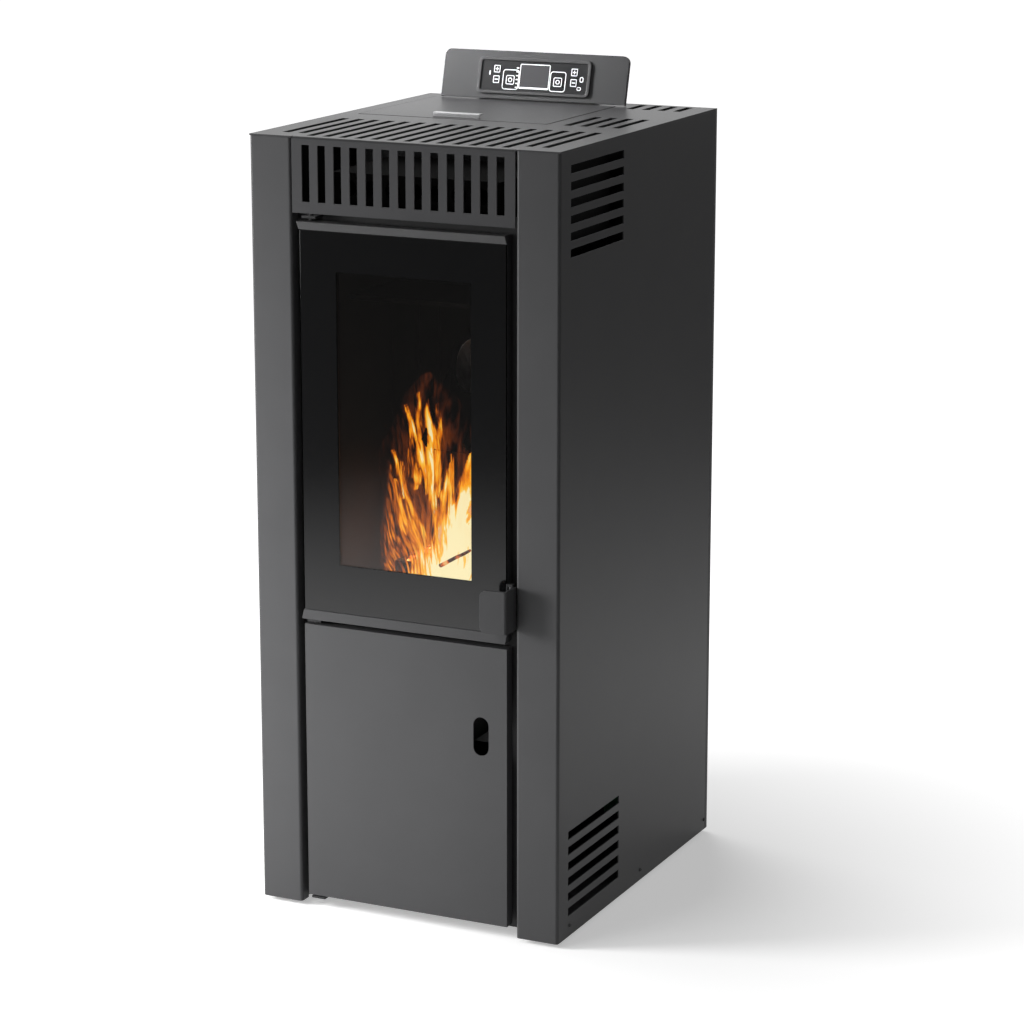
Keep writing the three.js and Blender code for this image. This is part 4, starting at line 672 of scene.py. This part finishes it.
@dataclass
class FireDoor:
    """Glass fire door: printed glass with a clear window, strips, frame, gasket and handle."""

    window_half: float = 92.0
    window_bottom: float = 455.0
    window_top: float = 826.0
    arris: float = 0.5

    def build(self) -> None:
        """Builds and dresses the door."""
        self.glass()
        rounded("door_strip_top", SHADED_STRIP_PAINT, 0.6, 3)
        rounded("door_strip_bottom", CASE_PAINT, 0.6, 3)
        rounded("door_handle", CASE_PAINT, 0.5, 3)
        rounded("door_frame", DARK_PAINT, 0.3)
        dress(GASKET_ROPE, "door_gasket")
        for place in ("top", "middle", "bottom"):
            rounded(f"hinge_bracket_{place}", DARK_PAINT, 0.25)

    def glass(self) -> None:
        """Cuts the clear window into the printed glass slab and arrises its edges."""
        low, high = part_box("door_glass")
        work = box_mesh(low, high)
        inner_low = spot(-self.window_half, 0, self.window_bottom)
        inner_high = spot(self.window_half, 0, self.window_top)
        for normal in ((1, 0, 0), (0, 0, 1)):
            for point in (inner_low, inner_high):
                bmesh.ops.bisect_plane(work, geom=work.verts[:] + work.edges[:] + work.faces[:],
                                       plane_co=point, plane_no=normal)
        rim = [edge for edge in work.edges if edge.calc_face_angle(0.0) > 1.0]
        bevel(work, rim, self.arris, 2)
        for face in work.faces:
            middle = face.calc_center_median()
            inside = all(inner_low[axis] < middle[axis] < inner_high[axis] for axis in (0, 2))
            face.material_index = int(inside)
        piece = hand_over(work, "door_glass_pane", Body.GLASS_DOOR.value, GLASS_PRINT)
        even_shading(piece)
        piece.data.materials.append(WINDOW_GLASS.material())
        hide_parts("door_glass")


@dataclass
class ServiceDoor:
    """Folded service door, its magnet catch and what stands behind it."""

    def build(self) -> None:
        """Builds and dresses the door and the ash drawer."""
        rounded("lower_door", CASE_PAINT, 0.9, 3)
        dress(BLACK_SCREW, "magnet_catch")
        rounded("ash_drawer", SHADED_ZINC, 0.4)
        rounded("ash_drawer_sleeve", SHADED_ZINC, 0.3)
        rounded("room_fan_housing", SHADED_ZINC, 0.3)
        dress(ZINC_STEEL, "room_fan_rotor")
        rounded("room_fan_motor", DARK_PAINT, 1.0)


@dataclass(frozen=True)
class Tongue:
    """One flame drawn on a sheet of fire, from its root to its tip in case millimetres."""

    root: Range
    tip: Range
    width: float
    heat: float = 1.0
    lean: float = 0.0
    belly: float = 0.62
    slimness: float = 0.8
    cooling: float = 0.45
    least_girth: float = 0.01

    def warmth(self, x: float, z: float) -> float:
        """Returns how hot the flame is at a place of its sheet, 0 outside it.

        Args:
            x: Distance right of the case's middle.
            z: Height above the side panels' lower edge.

        Returns:
            The heat.
        """
        run = (self.tip[0] - self.root[0], self.tip[1] - self.root[1])
        length = math.hypot(*run)
        along = ((x - self.root[0]) * run[0] + (z - self.root[1]) * run[1]) / length ** 2
        if not 0.0 < along < 1.0:
            return 0.0
        across = ((x - self.root[0]) * run[1] - (z - self.root[1]) * run[0]) / length
        across -= self.lean * math.sin(along * math.pi)
        girth = self.width / 2 * math.sin(math.pi * along ** self.belly) ** self.slimness
        inside = 1.0 - (abs(across) / max(girth, self.least_girth)) ** 2
        return self.heat * max(inside, 0.0) * (1.0 - self.cooling * along)


@dataclass(frozen=True)
class FireSheet:
    """A thin curved sheet of fire that carries several flames."""

    name: str
    depth: float
    tongues: tuple[Tongue, ...]
    z: Range
    x: Range = (-104.0, 104.0)
    thickness: float = 5.0
    bow: float = 16.0
    bow_middle: float = 0.3
    columns: int = 104
    rows: int = 132
    tear: float = 5.0
    tear_size: Range = (26.0, 60.0)
    tear_pull: float = 2.0
    fan: Range = (22.0, 410.0)
    fan_reach: float = 90.0
    cold: float = 0.03

    def place(self, vert: bmesh.types.BMVert) -> tuple[float, float, float, float, float]:
        """Works out where a vertex of the flat sheet lies in the case, and its fire.

        Args:
            vert: The vertex, on a sheet one unit wide and high.

        Returns:
            Its x and z in case millimetres, its bow to the rear, its heat and its strand.
        """
        x = self.x[0] + (self.x[1] - self.x[0]) * (vert.co.x + 0.5)
        z = self.z[0] + (self.z[1] - self.z[0]) * (vert.co.y + 0.5)
        place = Vector((x / self.tear_size[0], self.depth, z / self.tear_size[1]))
        torn = noise.noise_vector(place) * self.tear
        warmth = max(tongue.warmth(x + torn.x, z + torn.y * self.tear_pull) for tongue in self.tongues)
        spread = 1.0 + max(z - self.fan[1], 0.0) / self.fan_reach
        strand = (x + torn.x * self.tear_pull - self.fan[0]) / spread
        return x, z, self.bow * ((vert.co.x * 2.0) ** 2 - self.bow_middle), warmth, strand

    def trim(self, work: Mesh) -> None:
        """Cuts the cold parts off the flat sheet, and leaves no loose or pinched places."""
        cut = [vert for vert in work.verts if self.place(vert)[3] < self.cold]
        while cut:
            bmesh.ops.delete(work, geom=cut, context="VERTS")
            bmesh.ops.delete(work, geom=[edge for edge in work.edges if edge.is_wire], context="EDGES")
            cut = [vert for vert in work.verts if not vert.link_faces
                   or sum(edge.is_boundary for edge in vert.link_edges) > 2]

    def build(self, finish: FlameFinish) -> None:
        """Shapes the sheet and stores the flames' heat and strands on it.

        Args:
            finish: The flames' finish.
        """
        work = bmesh.new()
        work.verts.layers.float.new("warmth")
        strand = work.verts.layers.float.new("strand")
        # A new layer moves the ones before it, so the first is looked up again.
        layer = work.verts.layers.float["warmth"]
        bmesh.ops.create_grid(work, x_segments=self.columns, y_segments=self.rows, size=0.5)
        self.trim(work)
        bmesh.ops.solidify(work, geom=work.faces[:], thickness=1.0)
        middle = sum(vert.co.z for vert in work.verts) / len(work.verts)
        for vert in work.verts:
            x, z, bow, vert[layer], offset = self.place(vert)
            vert[strand] = offset * MM
            vert.co = spot(x, self.depth + bow + (self.thickness if vert.co.z < middle else 0.0), z)
        hand_over(work, self.name, Body.POT.value, finish, smooth=180.0)


@dataclass
class Fire:
    """Fire chamber and the pellet fire in it."""

    pot_half: float = 44.0
    pot_front: float = 76.0
    pot_rear: float = 154.0
    pot_wall: float = 6.0
    bed_height: float = 456.0
    heap_sink: float = 14.0
    heap_height: float = 22.0
    heap_fall: float = 0.6
    heap_fill: Range = (0.55, 1.0)
    seed: int = 11
    pellets: int = 230
    pellet_radius: float = 3.0
    pellet_length: Range = (9.0, 16.0)
    pellet_tilt: float = 0.5
    splinter: tuple[Point, Point] = ((22.0, 54.0, 455.0), (68.0, 46.0, 481.0))
    splinter_radii: Range = (2.4, 1.6)
    splinter_cuts: int = 4
    knot_frequency: float = 60.0
    knot_height: float = 2.0
    glow: float = 0.6
    glow_at: Point = (10.0, 80.0, 480.0)
    glow_colour: Colour = (1.0, 0.48, 0.2)
    glow_radius: float = 0.03
    front: FireSheet = FireSheet("fire_front", 60.0, (
        Tongue((34, 372), (42, 536), 118, 2.1, 0.0, 0.5),
        Tongue((40, 410), (62, 604), 64, 1.5, 3.0, 0.5),
        Tongue((28, 410), (34, 590), 50, 1.1, -3.0, 0.5),
        Tongue((16, 410), (20, 556), 38, 0.85, 3.0, 0.5),
        Tongue((4, 404), (-48, 566), 54, 0.8, 5.0, 0.5),
        Tongue((-4, 408), (-34, 584), 26, 0.62, 4.0, 0.6),
        Tongue((0, 396), (-8, 560), 110, 0.24, 0.0, 0.6),
        Tongue((4, 392), (2, 476), 118, 0.62, 0.0, 0.6),
        Tongue((38, 520), (39, 606), 12, 0.8, -2.0),
        Tongue((60, 530), (68, 622), 14, 0.8, 2.0),
    ), z=(398.0, 680.0))
    rear: FireSheet = FireSheet("fire_rear", 122.0, (
        Tongue((-22, 500), (-27, 652), 26, 0.84, 4.0, 0.85),
        Tongue((-32, 520), (-40, 658), 13, 0.85, -3.0, 0.9),
        Tongue((-14, 520), (-12, 650), 13, 0.8, 3.0, 0.9),
        Tongue((-20, 450), (-24, 580), 34, 0.42, 0.0),
        Tongue((-42, 560), (-62, 640), 11, 0.8, 3.0, 0.8),
        Tongue((-52, 545), (-54, 612), 9, 0.75, -2.0),
        Tongue((-64, 520), (-86, 584), 14, 0.8, 4.0),
        Tongue((-48, 528), (-44, 596), 10, 0.75, 2.0),
        Tongue((20, 440), (30, 570), 80, 0.6, 0.0),
        Tongue((-20, 430), (-24, 692), 200, 0.17, 0.0, 0.8),
        Tongue((-84, 400), (-88, 560), 60, 0.34, 4.0, 0.6),
        Tongue((-50, 396), (-56, 580), 120, 0.24, 0.0, 0.6),
    ), z=(400.0, 700.0), fan=(-12.0, 400.0))

    def build(self) -> None:
        """Builds and dresses the chamber and the fire."""
        rounded("firebox", SOOTY_IRON, 0.5)
        rounded("fire_back_plate", FIRE_BRICK, 0.8)
        rounded("baffle_plate", SOOTY_IRON, 0.8)
        rounded("burn_pot", CAST_IRON, 0.8)
        rounded("pellet_chute", SOOTY_IRON, 0.4)
        dress(CERAMIC, "igniter")
        self.embers()
        # Without a seed of its own the noise of the flames follows the clock.
        noise.seed_set(self.seed)
        self.front.build(FLAME)
        self.rear.build(FLAME)
        self.stick()
        self.lamp()

    def lamp(self) -> None:
        """Hangs a small warm lamp in the flames, so that they light the chamber."""
        data = bpy.data.lights.new("fire_glow", "POINT")
        data.color = self.glow_colour
        data.energy = self.glow
        data.shadow_soft_size = self.glow_radius
        stand("fire_glow", data).location = spot(*self.glow_at)

    def embers(self) -> None:
        """Heaps glowing pellets in the burn pot."""
        chance = random.Random(self.seed)
        middle = (self.pot_front + self.pot_rear) / 2
        half = (self.pot_rear - self.pot_front) / 2
        work = bmesh.new()
        for _ in range(self.pellets):
            x = chance.uniform(-self.pot_half + self.pot_wall, self.pot_half - self.pot_wall)
            y = chance.uniform(self.pot_front + self.pot_wall, self.pot_rear - self.pot_wall)
            fall = (x / self.pot_half) ** 2 * self.heap_fall
            crown = 1.0 - fall - ((y - middle) / half) ** 2 * self.heap_fall
            z = self.bed_height - self.heap_sink + self.heap_height * crown * chance.uniform(*self.heap_fill)
            turn = Matrix.Rotation(chance.uniform(0, math.pi), 4, "Z") @ Matrix.Rotation(
                math.pi / 2 + chance.uniform(-self.pellet_tilt, self.pellet_tilt), 4, "X")
            add_cone(work, 8, (self.pellet_radius, self.pellet_radius),
                     chance.uniform(*self.pellet_length) * MM, Matrix.Translation(spot(x, y, z)) @ turn)
        hand_over(work, "ember_bed", Body.POT.value, EMBERS)

    def stick(self) -> None:
        """Lays one glowing splinter across the right of the pot."""
        start, end = (spot(*point) for point in self.splinter)
        work = bmesh.new()
        along = end - start
        place = Matrix.Translation((start + end) / 2) @ along.to_track_quat("Z", "Y").to_matrix().to_4x4()
        add_cone(work, 8, self.splinter_radii, along.length, place)
        long_edges = [edge for edge in work.edges
                      if abs((edge.verts[0].co - edge.verts[1].co).dot(along)) > 0]
        bmesh.ops.subdivide_edges(work, edges=long_edges, cuts=self.splinter_cuts)
        for vert in work.verts:
            bend = noise.noise(vert.co * self.knot_frequency) * self.knot_height * MM
            vert.co += Vector((0, 0, 1)) * bend
        hand_over(work, "ember_splinter", Body.POT.value, CHARRED)


@dataclass
class PelletFeed:
    """Hopper, lid, auger and gearmotor."""

    pull_highlight_level: float = 991.5

    def build(self) -> None:
        """Builds and dresses the feed."""
        lid = rounded("hopper_lid", SHADED_TOP_PAINT, 0.4)
        # The pull's faces above this level get the painted highlight.
        lid.data.materials.append(PULL_LIP_HIGHLIGHT.material())
        for face in lid.data.polygons:
            face.material_index = int(face.center.z > spot(0, 0, self.pull_highlight_level).z)
        rounded("hopper", SHADED_ZINC, 0.3)
        rounded("hopper_seal", SEAL_RUBBER, 0.3)
        rounded("lid_hinge_pin", ZINC_STEEL, 0.3)
        rounded("auger_gearmotor", DARK_PAINT, 0.8)
        dress(ZINC_STEEL, "auger_tube", "auger_screw")


@dataclass
class SmokePath:
    """Heat exchanger, duct, smoke fan and the two pipe stubs."""

    def build(self) -> None:
        """Builds and dresses the smoke path."""
        rounded("heat_exchanger", SOOTY_IRON, 0.5)
        rounded("smoke_duct", ZINC_STEEL, 0.4)
        rounded("smoke_fan_housing", SHADED_ZINC, 0.4)
        rounded("smoke_fan_motor", DARK_PAINT, 0.8)
        rounded("flue_pipe", PIPE_PAINT, 0.4)
        rounded("air_intake_pipe", ZINC_STEEL, 0.4)
        dress(SHADED_ZINC, "smoke_fan_impeller")


@dataclass
class Console:
    """Leaning console: sheet, bezel, display, buttons and their plain marks."""

    front: float = 456.0
    top: float = 990.0
    lean: float = 15.0
    face: float = -1.5
    button_face: float = -2.3
    film_depth: float = 0.9
    mark_height: float = 0.12
    mark_gap: float = 0.01
    stroke: float = 1.15
    thin_stroke: float = 1.1
    bar_corner: float = 0.3
    keypad: Sides = (-118.0, 38.5, 12.0, 53.5)
    display: Sides = (-61.0, -17.0, 16.3, 49.7)
    display_radius: float = 2.0
    display_rise: float = 0.5
    shelf_lift: float = 1.4
    shelf_height: float = 2.2
    shelf_gap: float = 2.0
    shelf_rise: float = 0.6
    link_ends: Range = (-85.7, 6.8)
    link_z: Range = (14.5, 41.6)
    link_gap: float = 0.6
    link_radius: float = 4.0
    buttons: dict[str, Range] = field(default_factory=lambda: {
        "power_up_button": (-94.5, 41.5), "power_down_button": (-94.5, 27.5),
        "heat_up_button": (18.5, 41.5), "heat_down_button": (18.5, 27.5)})
    button_half: Range = (4.6, 5.0)
    button_radius: float = 1.2
    sign: Range = (5.0, 1.3)
    wide_buttons: dict[str, float] = field(default_factory=lambda: {
        "menu_button": -74.0, "on_off_button": -4.5})
    wide_z: float = 27.5
    wide_half: float = 6.2
    wide_radius: float = 2.2
    ring_half: float = 3.1
    ring_radius: float = 3.0
    ring_stroke: float = 1.2
    ladder_foot: Range = (-64.6, 18.0)
    ladder_pitch: float = 5.2
    ladder_rungs: int = 6
    rung: Range = (3.6, 1.6)
    tiny_mark: Sides = (-105.0, 36.0, 2.0, 6.0)
    flame_marks: tuple[tuple[str, Range, Range, float, float], ...] = (
        ("flame_mark_upper", (26.6, 32.2), (28.6, 36.0), 2.4, 1.3),
        ("flame_mark_lower", (23.6, 29.8), (17.6, 22.6), 2.0, 1.2))

    def build(self) -> None:
        """Builds and dresses the console."""
        rounded("console_plate", CASE_PAINT, 0.45, 3)
        self.film(rounded("display_bezel", BEZEL_GLOSS, 0.8, 3))
        rounded("display_window", DISPLAY_PANE, 0.3)
        rounded("display_housing", CONSOLE_PLASTIC, 0.5)
        dress(CIRCUIT_BOARD, "keypad_board")
        for name in (*self.buttons, *self.wide_buttons):
            rounded(name, BUTTON_PLASTIC, 0.25)
        self.marks()

    def slope(self) -> Matrix:
        """Returns the console's own place: y = 0 on its sheet, z up the slope."""
        turn = Matrix.Rotation(math.radians(-self.lean), 4, "X")
        return Matrix.Translation(spot(0, self.front, self.top)) @ turn

    def tile(self, x: Range, z: Range, y: Range, radius: float = 0.0) -> Mesh:
        """Makes a flat tile with rounded corners on the slope.

        Args:
            x: Its left and right sides.
            z: Its lower and upper sides, up the slope.
            y: Its front and back.
            radius: Radius of its corners.

        Returns:
            The tile's mesh.
        """
        work = box_mesh(*(Vector(corner) * MM for corner in zip(x, y, z)))
        if radius:
            bevel(work, edges_along(work, 1), radius, 5)
        bmesh.ops.transform(work, matrix=self.slope(), verts=work.verts)
        return work

    def film(self, bezel: Piece) -> None:
        """Gives the keypad's face inside the bezel's rim its dark film.

        Args:
            bezel: The bezel's piece.
        """
        bezel.data.materials.append(CONSOLE_PLASTIC.material())
        back = self.slope().inverted()
        left, right, low, high = self.keypad
        for face in bezel.data.polygons:
            x, y, z = back @ face.center / MM
            inside = left < x < right and low < z < high
            face.material_index = int(inside and y > self.face - self.film_depth)

    def outline(self, name: str, x: Range, z: Range, radius: float, stroke: float, body: str,
                level: float) -> None:
        """Draws the outline of a rounded tile as a thin raised mark.

        Args:
            name: The mark's name.
            x: Its left and right sides.
            z: Its lower and upper sides.
            radius: Radius of its corners.
            stroke: Width of the line.
            body: The body that carries it.
            level: The face that it lies on.
        """
        work = self.tile(x, z, (level - self.mark_height, level - self.mark_gap), radius)
        normal = self.slope().to_3x3() @ Vector((0, -1, 0))
        sides = [face for face in work.faces if abs(face.normal.dot(normal)) > ALIGNED]
        bmesh.ops.inset_region(work, faces=sides, thickness=stroke * MM, use_even_offset=True)
        rings = [face for face in sides if face.is_valid]
        bmesh.ops.bridge_loops(work, edges=[edge for face in rings for edge in face.edges])
        bmesh.ops.delete(work, geom=rings, context="FACES_ONLY")
        hand_over(work, name, body, PALE_MARK)

    def bar(self, name: str, x: float, z: float, width: float, height: float, body: str,
            level: float) -> None:
        """Draws a short straight mark with its middle at x and z."""
        work = self.tile((x - width / 2, x + width / 2), (z - height / 2, z + height / 2),
                         (level - self.mark_height, level - self.mark_gap),
                         min(width, height) * self.bar_corner)
        hand_over(work, name, body, PALE_MARK)

    def marks(self) -> None:
        """Draws the keypad's plain line marks."""
        case, level = Body.CASE.value, self.face
        left, right, low, high = self.display
        self.outline("display_rim", (left, right), (low, high), self.display_radius, self.thin_stroke, case,
                     level - self.display_rise)
        self.bar("display_shelf", (left + right) / 2, low + self.shelf_lift, right - left - self.shelf_gap,
                 self.shelf_height, case, level - self.shelf_rise)
        for side, x in (("left", (self.link_ends[0], left - self.link_gap)),
                        ("right", (right + self.link_gap, self.link_ends[1]))):
            self.outline(f"link_line_{side}", x, self.link_z, self.link_radius, self.stroke, case, level)
        self.button_marks()
        for step in range(self.ladder_rungs):
            self.bar(f"ladder_mark_{step + 1}", self.ladder_foot[0],
                     self.ladder_foot[1] + self.ladder_pitch * step, *self.rung, case, level)
        self.bar("tiny_mark", *self.tiny_mark, case, level)
        for mark in self.flame_marks:
            self.outline(*mark, case, level)

    def button_marks(self) -> None:
        """Draws the marks that ride on the buttons."""
        across, up = self.button_half
        level = self.button_face
        for name, (x, z) in self.buttons.items():
            body = in_body(name)
            self.outline(f"{name}_frame", (x - across, x + across), (z - up, z + up), self.button_radius,
                         self.thin_stroke, body, level)
            self.bar(f"{name}_bar", x, z, *self.sign, body, level)
            if name.endswith("up_button"):
                self.bar(f"{name}_post", x, z, *reversed(self.sign), body, level)
        for name, x in self.wide_buttons.items():
            for mark, half, radius, stroke in (
                ("frame", self.wide_half, self.wide_radius, self.thin_stroke),
                ("ring", self.ring_half, self.ring_radius, self.ring_stroke),
            ):
                self.outline(f"{name}_{mark}", (x - half, x + half), (self.wide_z - half, self.wide_z + half),
                             radius, stroke, in_body(name), level)


@dataclass
class Electrics:
    """Control board, mains inlet and its switch."""

    def build(self) -> None:
        """Builds and dresses the electrics."""
        dress(CIRCUIT_BOARD, "control_board")
        rounded("power_inlet", CONSOLE_PLASTIC, 0.4)
        rounded("power_switch", BUTTON_PLASTIC, 0.4)


@dataclass(frozen=True)
class Lamp:
    """A round softbox: its place, aim, size, power and spread, and whether gloss shows it."""

    name: str
    place: Point
    aim: Point
    size: float
    power: float
    spread: float = 180.0
    mirrored: bool = True

    def hang(self) -> None:
        """Puts the lamp in the scene."""
        data = bpy.data.lights.new(self.name, "AREA")
        data.shape = "DISK"
        data.size = self.size
        data.energy = self.power
        data.spread = math.radians(self.spread)
        lamp = stand(self.name, data)
        lamp.location = self.place
        aim = Vector(self.aim) - Vector(self.place)
        lamp.rotation_euler = aim.to_track_quat("-Z", "Y").to_euler()
        lamp.visible_camera = False
        lamp.visible_glossy = self.mirrored


@dataclass
class Studio:
    """Camera, lamps, world and the pale floor."""

    camera_at: Point = (1793.6, -3477.0, 1483.8)
    turn: float = 25.34
    tilt: float = 13.66
    focal: float = 114.66
    sensor: float = 36.0
    far: float = 200.0
    floor_radius: float = 30.0
    floor_colour: Colour = (0.86, 0.86, 0.86)
    floor_glow: Range = (0.42, 1.0)
    floor_glow_from: Range = (0.3, 1.1)
    mirror_glow: Range = (0.85, 0.0)
    mirror_glow_from: Range = (0.9, 2.8)
    ambient: float = 0.11
    lamps: tuple[Lamp, ...] = (
        Lamp("top_lamp", (-0.9, 1.1, 2.5), (0.2, -0.1, 0.2), 1.5, 19.0),
        Lamp("front_lamp", (-1.9, -1.2, 0.85), (-0.1, -0.27, 0.4), 0.8, 30.0),
        Lamp("near_lamp", (-0.85, -0.75, 0.5), (-0.1, -0.2, 0.35), 0.4, 10.5, mirrored=False),
        Lamp("pool_lamp", (-0.5, -1.2, 1.5), (-0.4, -1.1, 0.0), 0.9, 4.0, 90.0),
        Lamp("console_lamp", (-0.7, -0.1, 1.35), (-0.05, 0.24, 1.05), 0.25, 1.4, 50.0),
    )

    def build(self) -> None:
        """Sets up the studio."""
        self.camera()
        self.light()
        self.floor()
        bpy.context.scene.view_settings.view_transform = "Standard"

    def camera(self) -> None:
        """Places the camera at the photograph's angle."""
        data = bpy.data.cameras.new("photo_camera")
        data.sensor_width = self.sensor
        data.lens = self.focal
        data.clip_end = self.far
        camera = stand("photo_camera", data)
        camera.location = spot(*self.camera_at)
        camera.rotation_euler = (math.radians(90.0 - self.tilt), 0.0, math.radians(self.turn))
        bpy.context.scene.camera = camera

    def light(self) -> None:
        """Hangs the softboxes and sets the world."""
        for lamp in self.lamps:
            lamp.hang()
        world = bpy.data.worlds.new("studio")
        bench = Bench(world)
        path = bench.add("ShaderNodeLightPath").outputs
        seen = bench.maths("MAXIMUM", path["Is Camera Ray"], path["Is Transmission Ray"])
        seen = bench.maths("MAXIMUM", seen, path["Is Glossy Ray"])
        level = bench.span(seen, self.ambient, 1.0)
        bench.finish(bench.add("ShaderNodeBackground", {"Color": (1.0, 1.0, 1.0, 1.0), "Strength": level}))
        bpy.context.scene.world = world

    def floor(self) -> None:
        """Lays the floor: pale paper that turns white away from the object for the camera."""
        work = bmesh.new()
        bmesh.ops.create_circle(work, cap_ends=True, segments=96, radius=self.floor_radius)
        data = bpy.data.meshes.new("studio_floor")
        work.to_mesh(data)
        work.free()
        bench = Bench(bpy.data.materials.new("studio_paper"))
        apart = bench.add("ShaderNodeVectorMath", {0: bench.place()}, operation="LENGTH").outputs["Value"]
        path = bench.add("ShaderNodeLightPath").outputs
        lift = bench.span(apart, *self.floor_glow, *self.floor_glow_from)
        fade = bench.span(apart, *self.mirror_glow, *self.mirror_glow_from)
        mirrored = bench.maths("MULTIPLY", path["Is Glossy Ray"], fade)
        direct = bench.maths("MAXIMUM", path["Is Camera Ray"], path["Is Transmission Ray"])
        seen = bench.maths("MULTIPLY", lift, bench.maths("MAXIMUM", direct, mirrored))
        paper = bench.add("ShaderNodeBsdfDiffuse", {"Color": (*self.floor_colour, 1.0)})
        glow = bench.add("ShaderNodeEmission", {"Strength": seen})
        data.materials.append(bench.finish(bench.join("ShaderNodeAddShader", paper, glow)))
        floor = stand("studio_floor", data)


def main() -> None:
    """Builds every sub-assembly in order."""
    logging.basicConfig(level=logging.INFO, format="%(name)s: %(message)s")
    for part in (Case(), FireDoor(), ServiceDoor(), Fire(), PelletFeed(), SmokePath(), Console(), Electrics(),
                 Studio()):
        LOG.info("building %s", type(part).__name__)
        part.build()


if __name__ == "__main__":
    main()
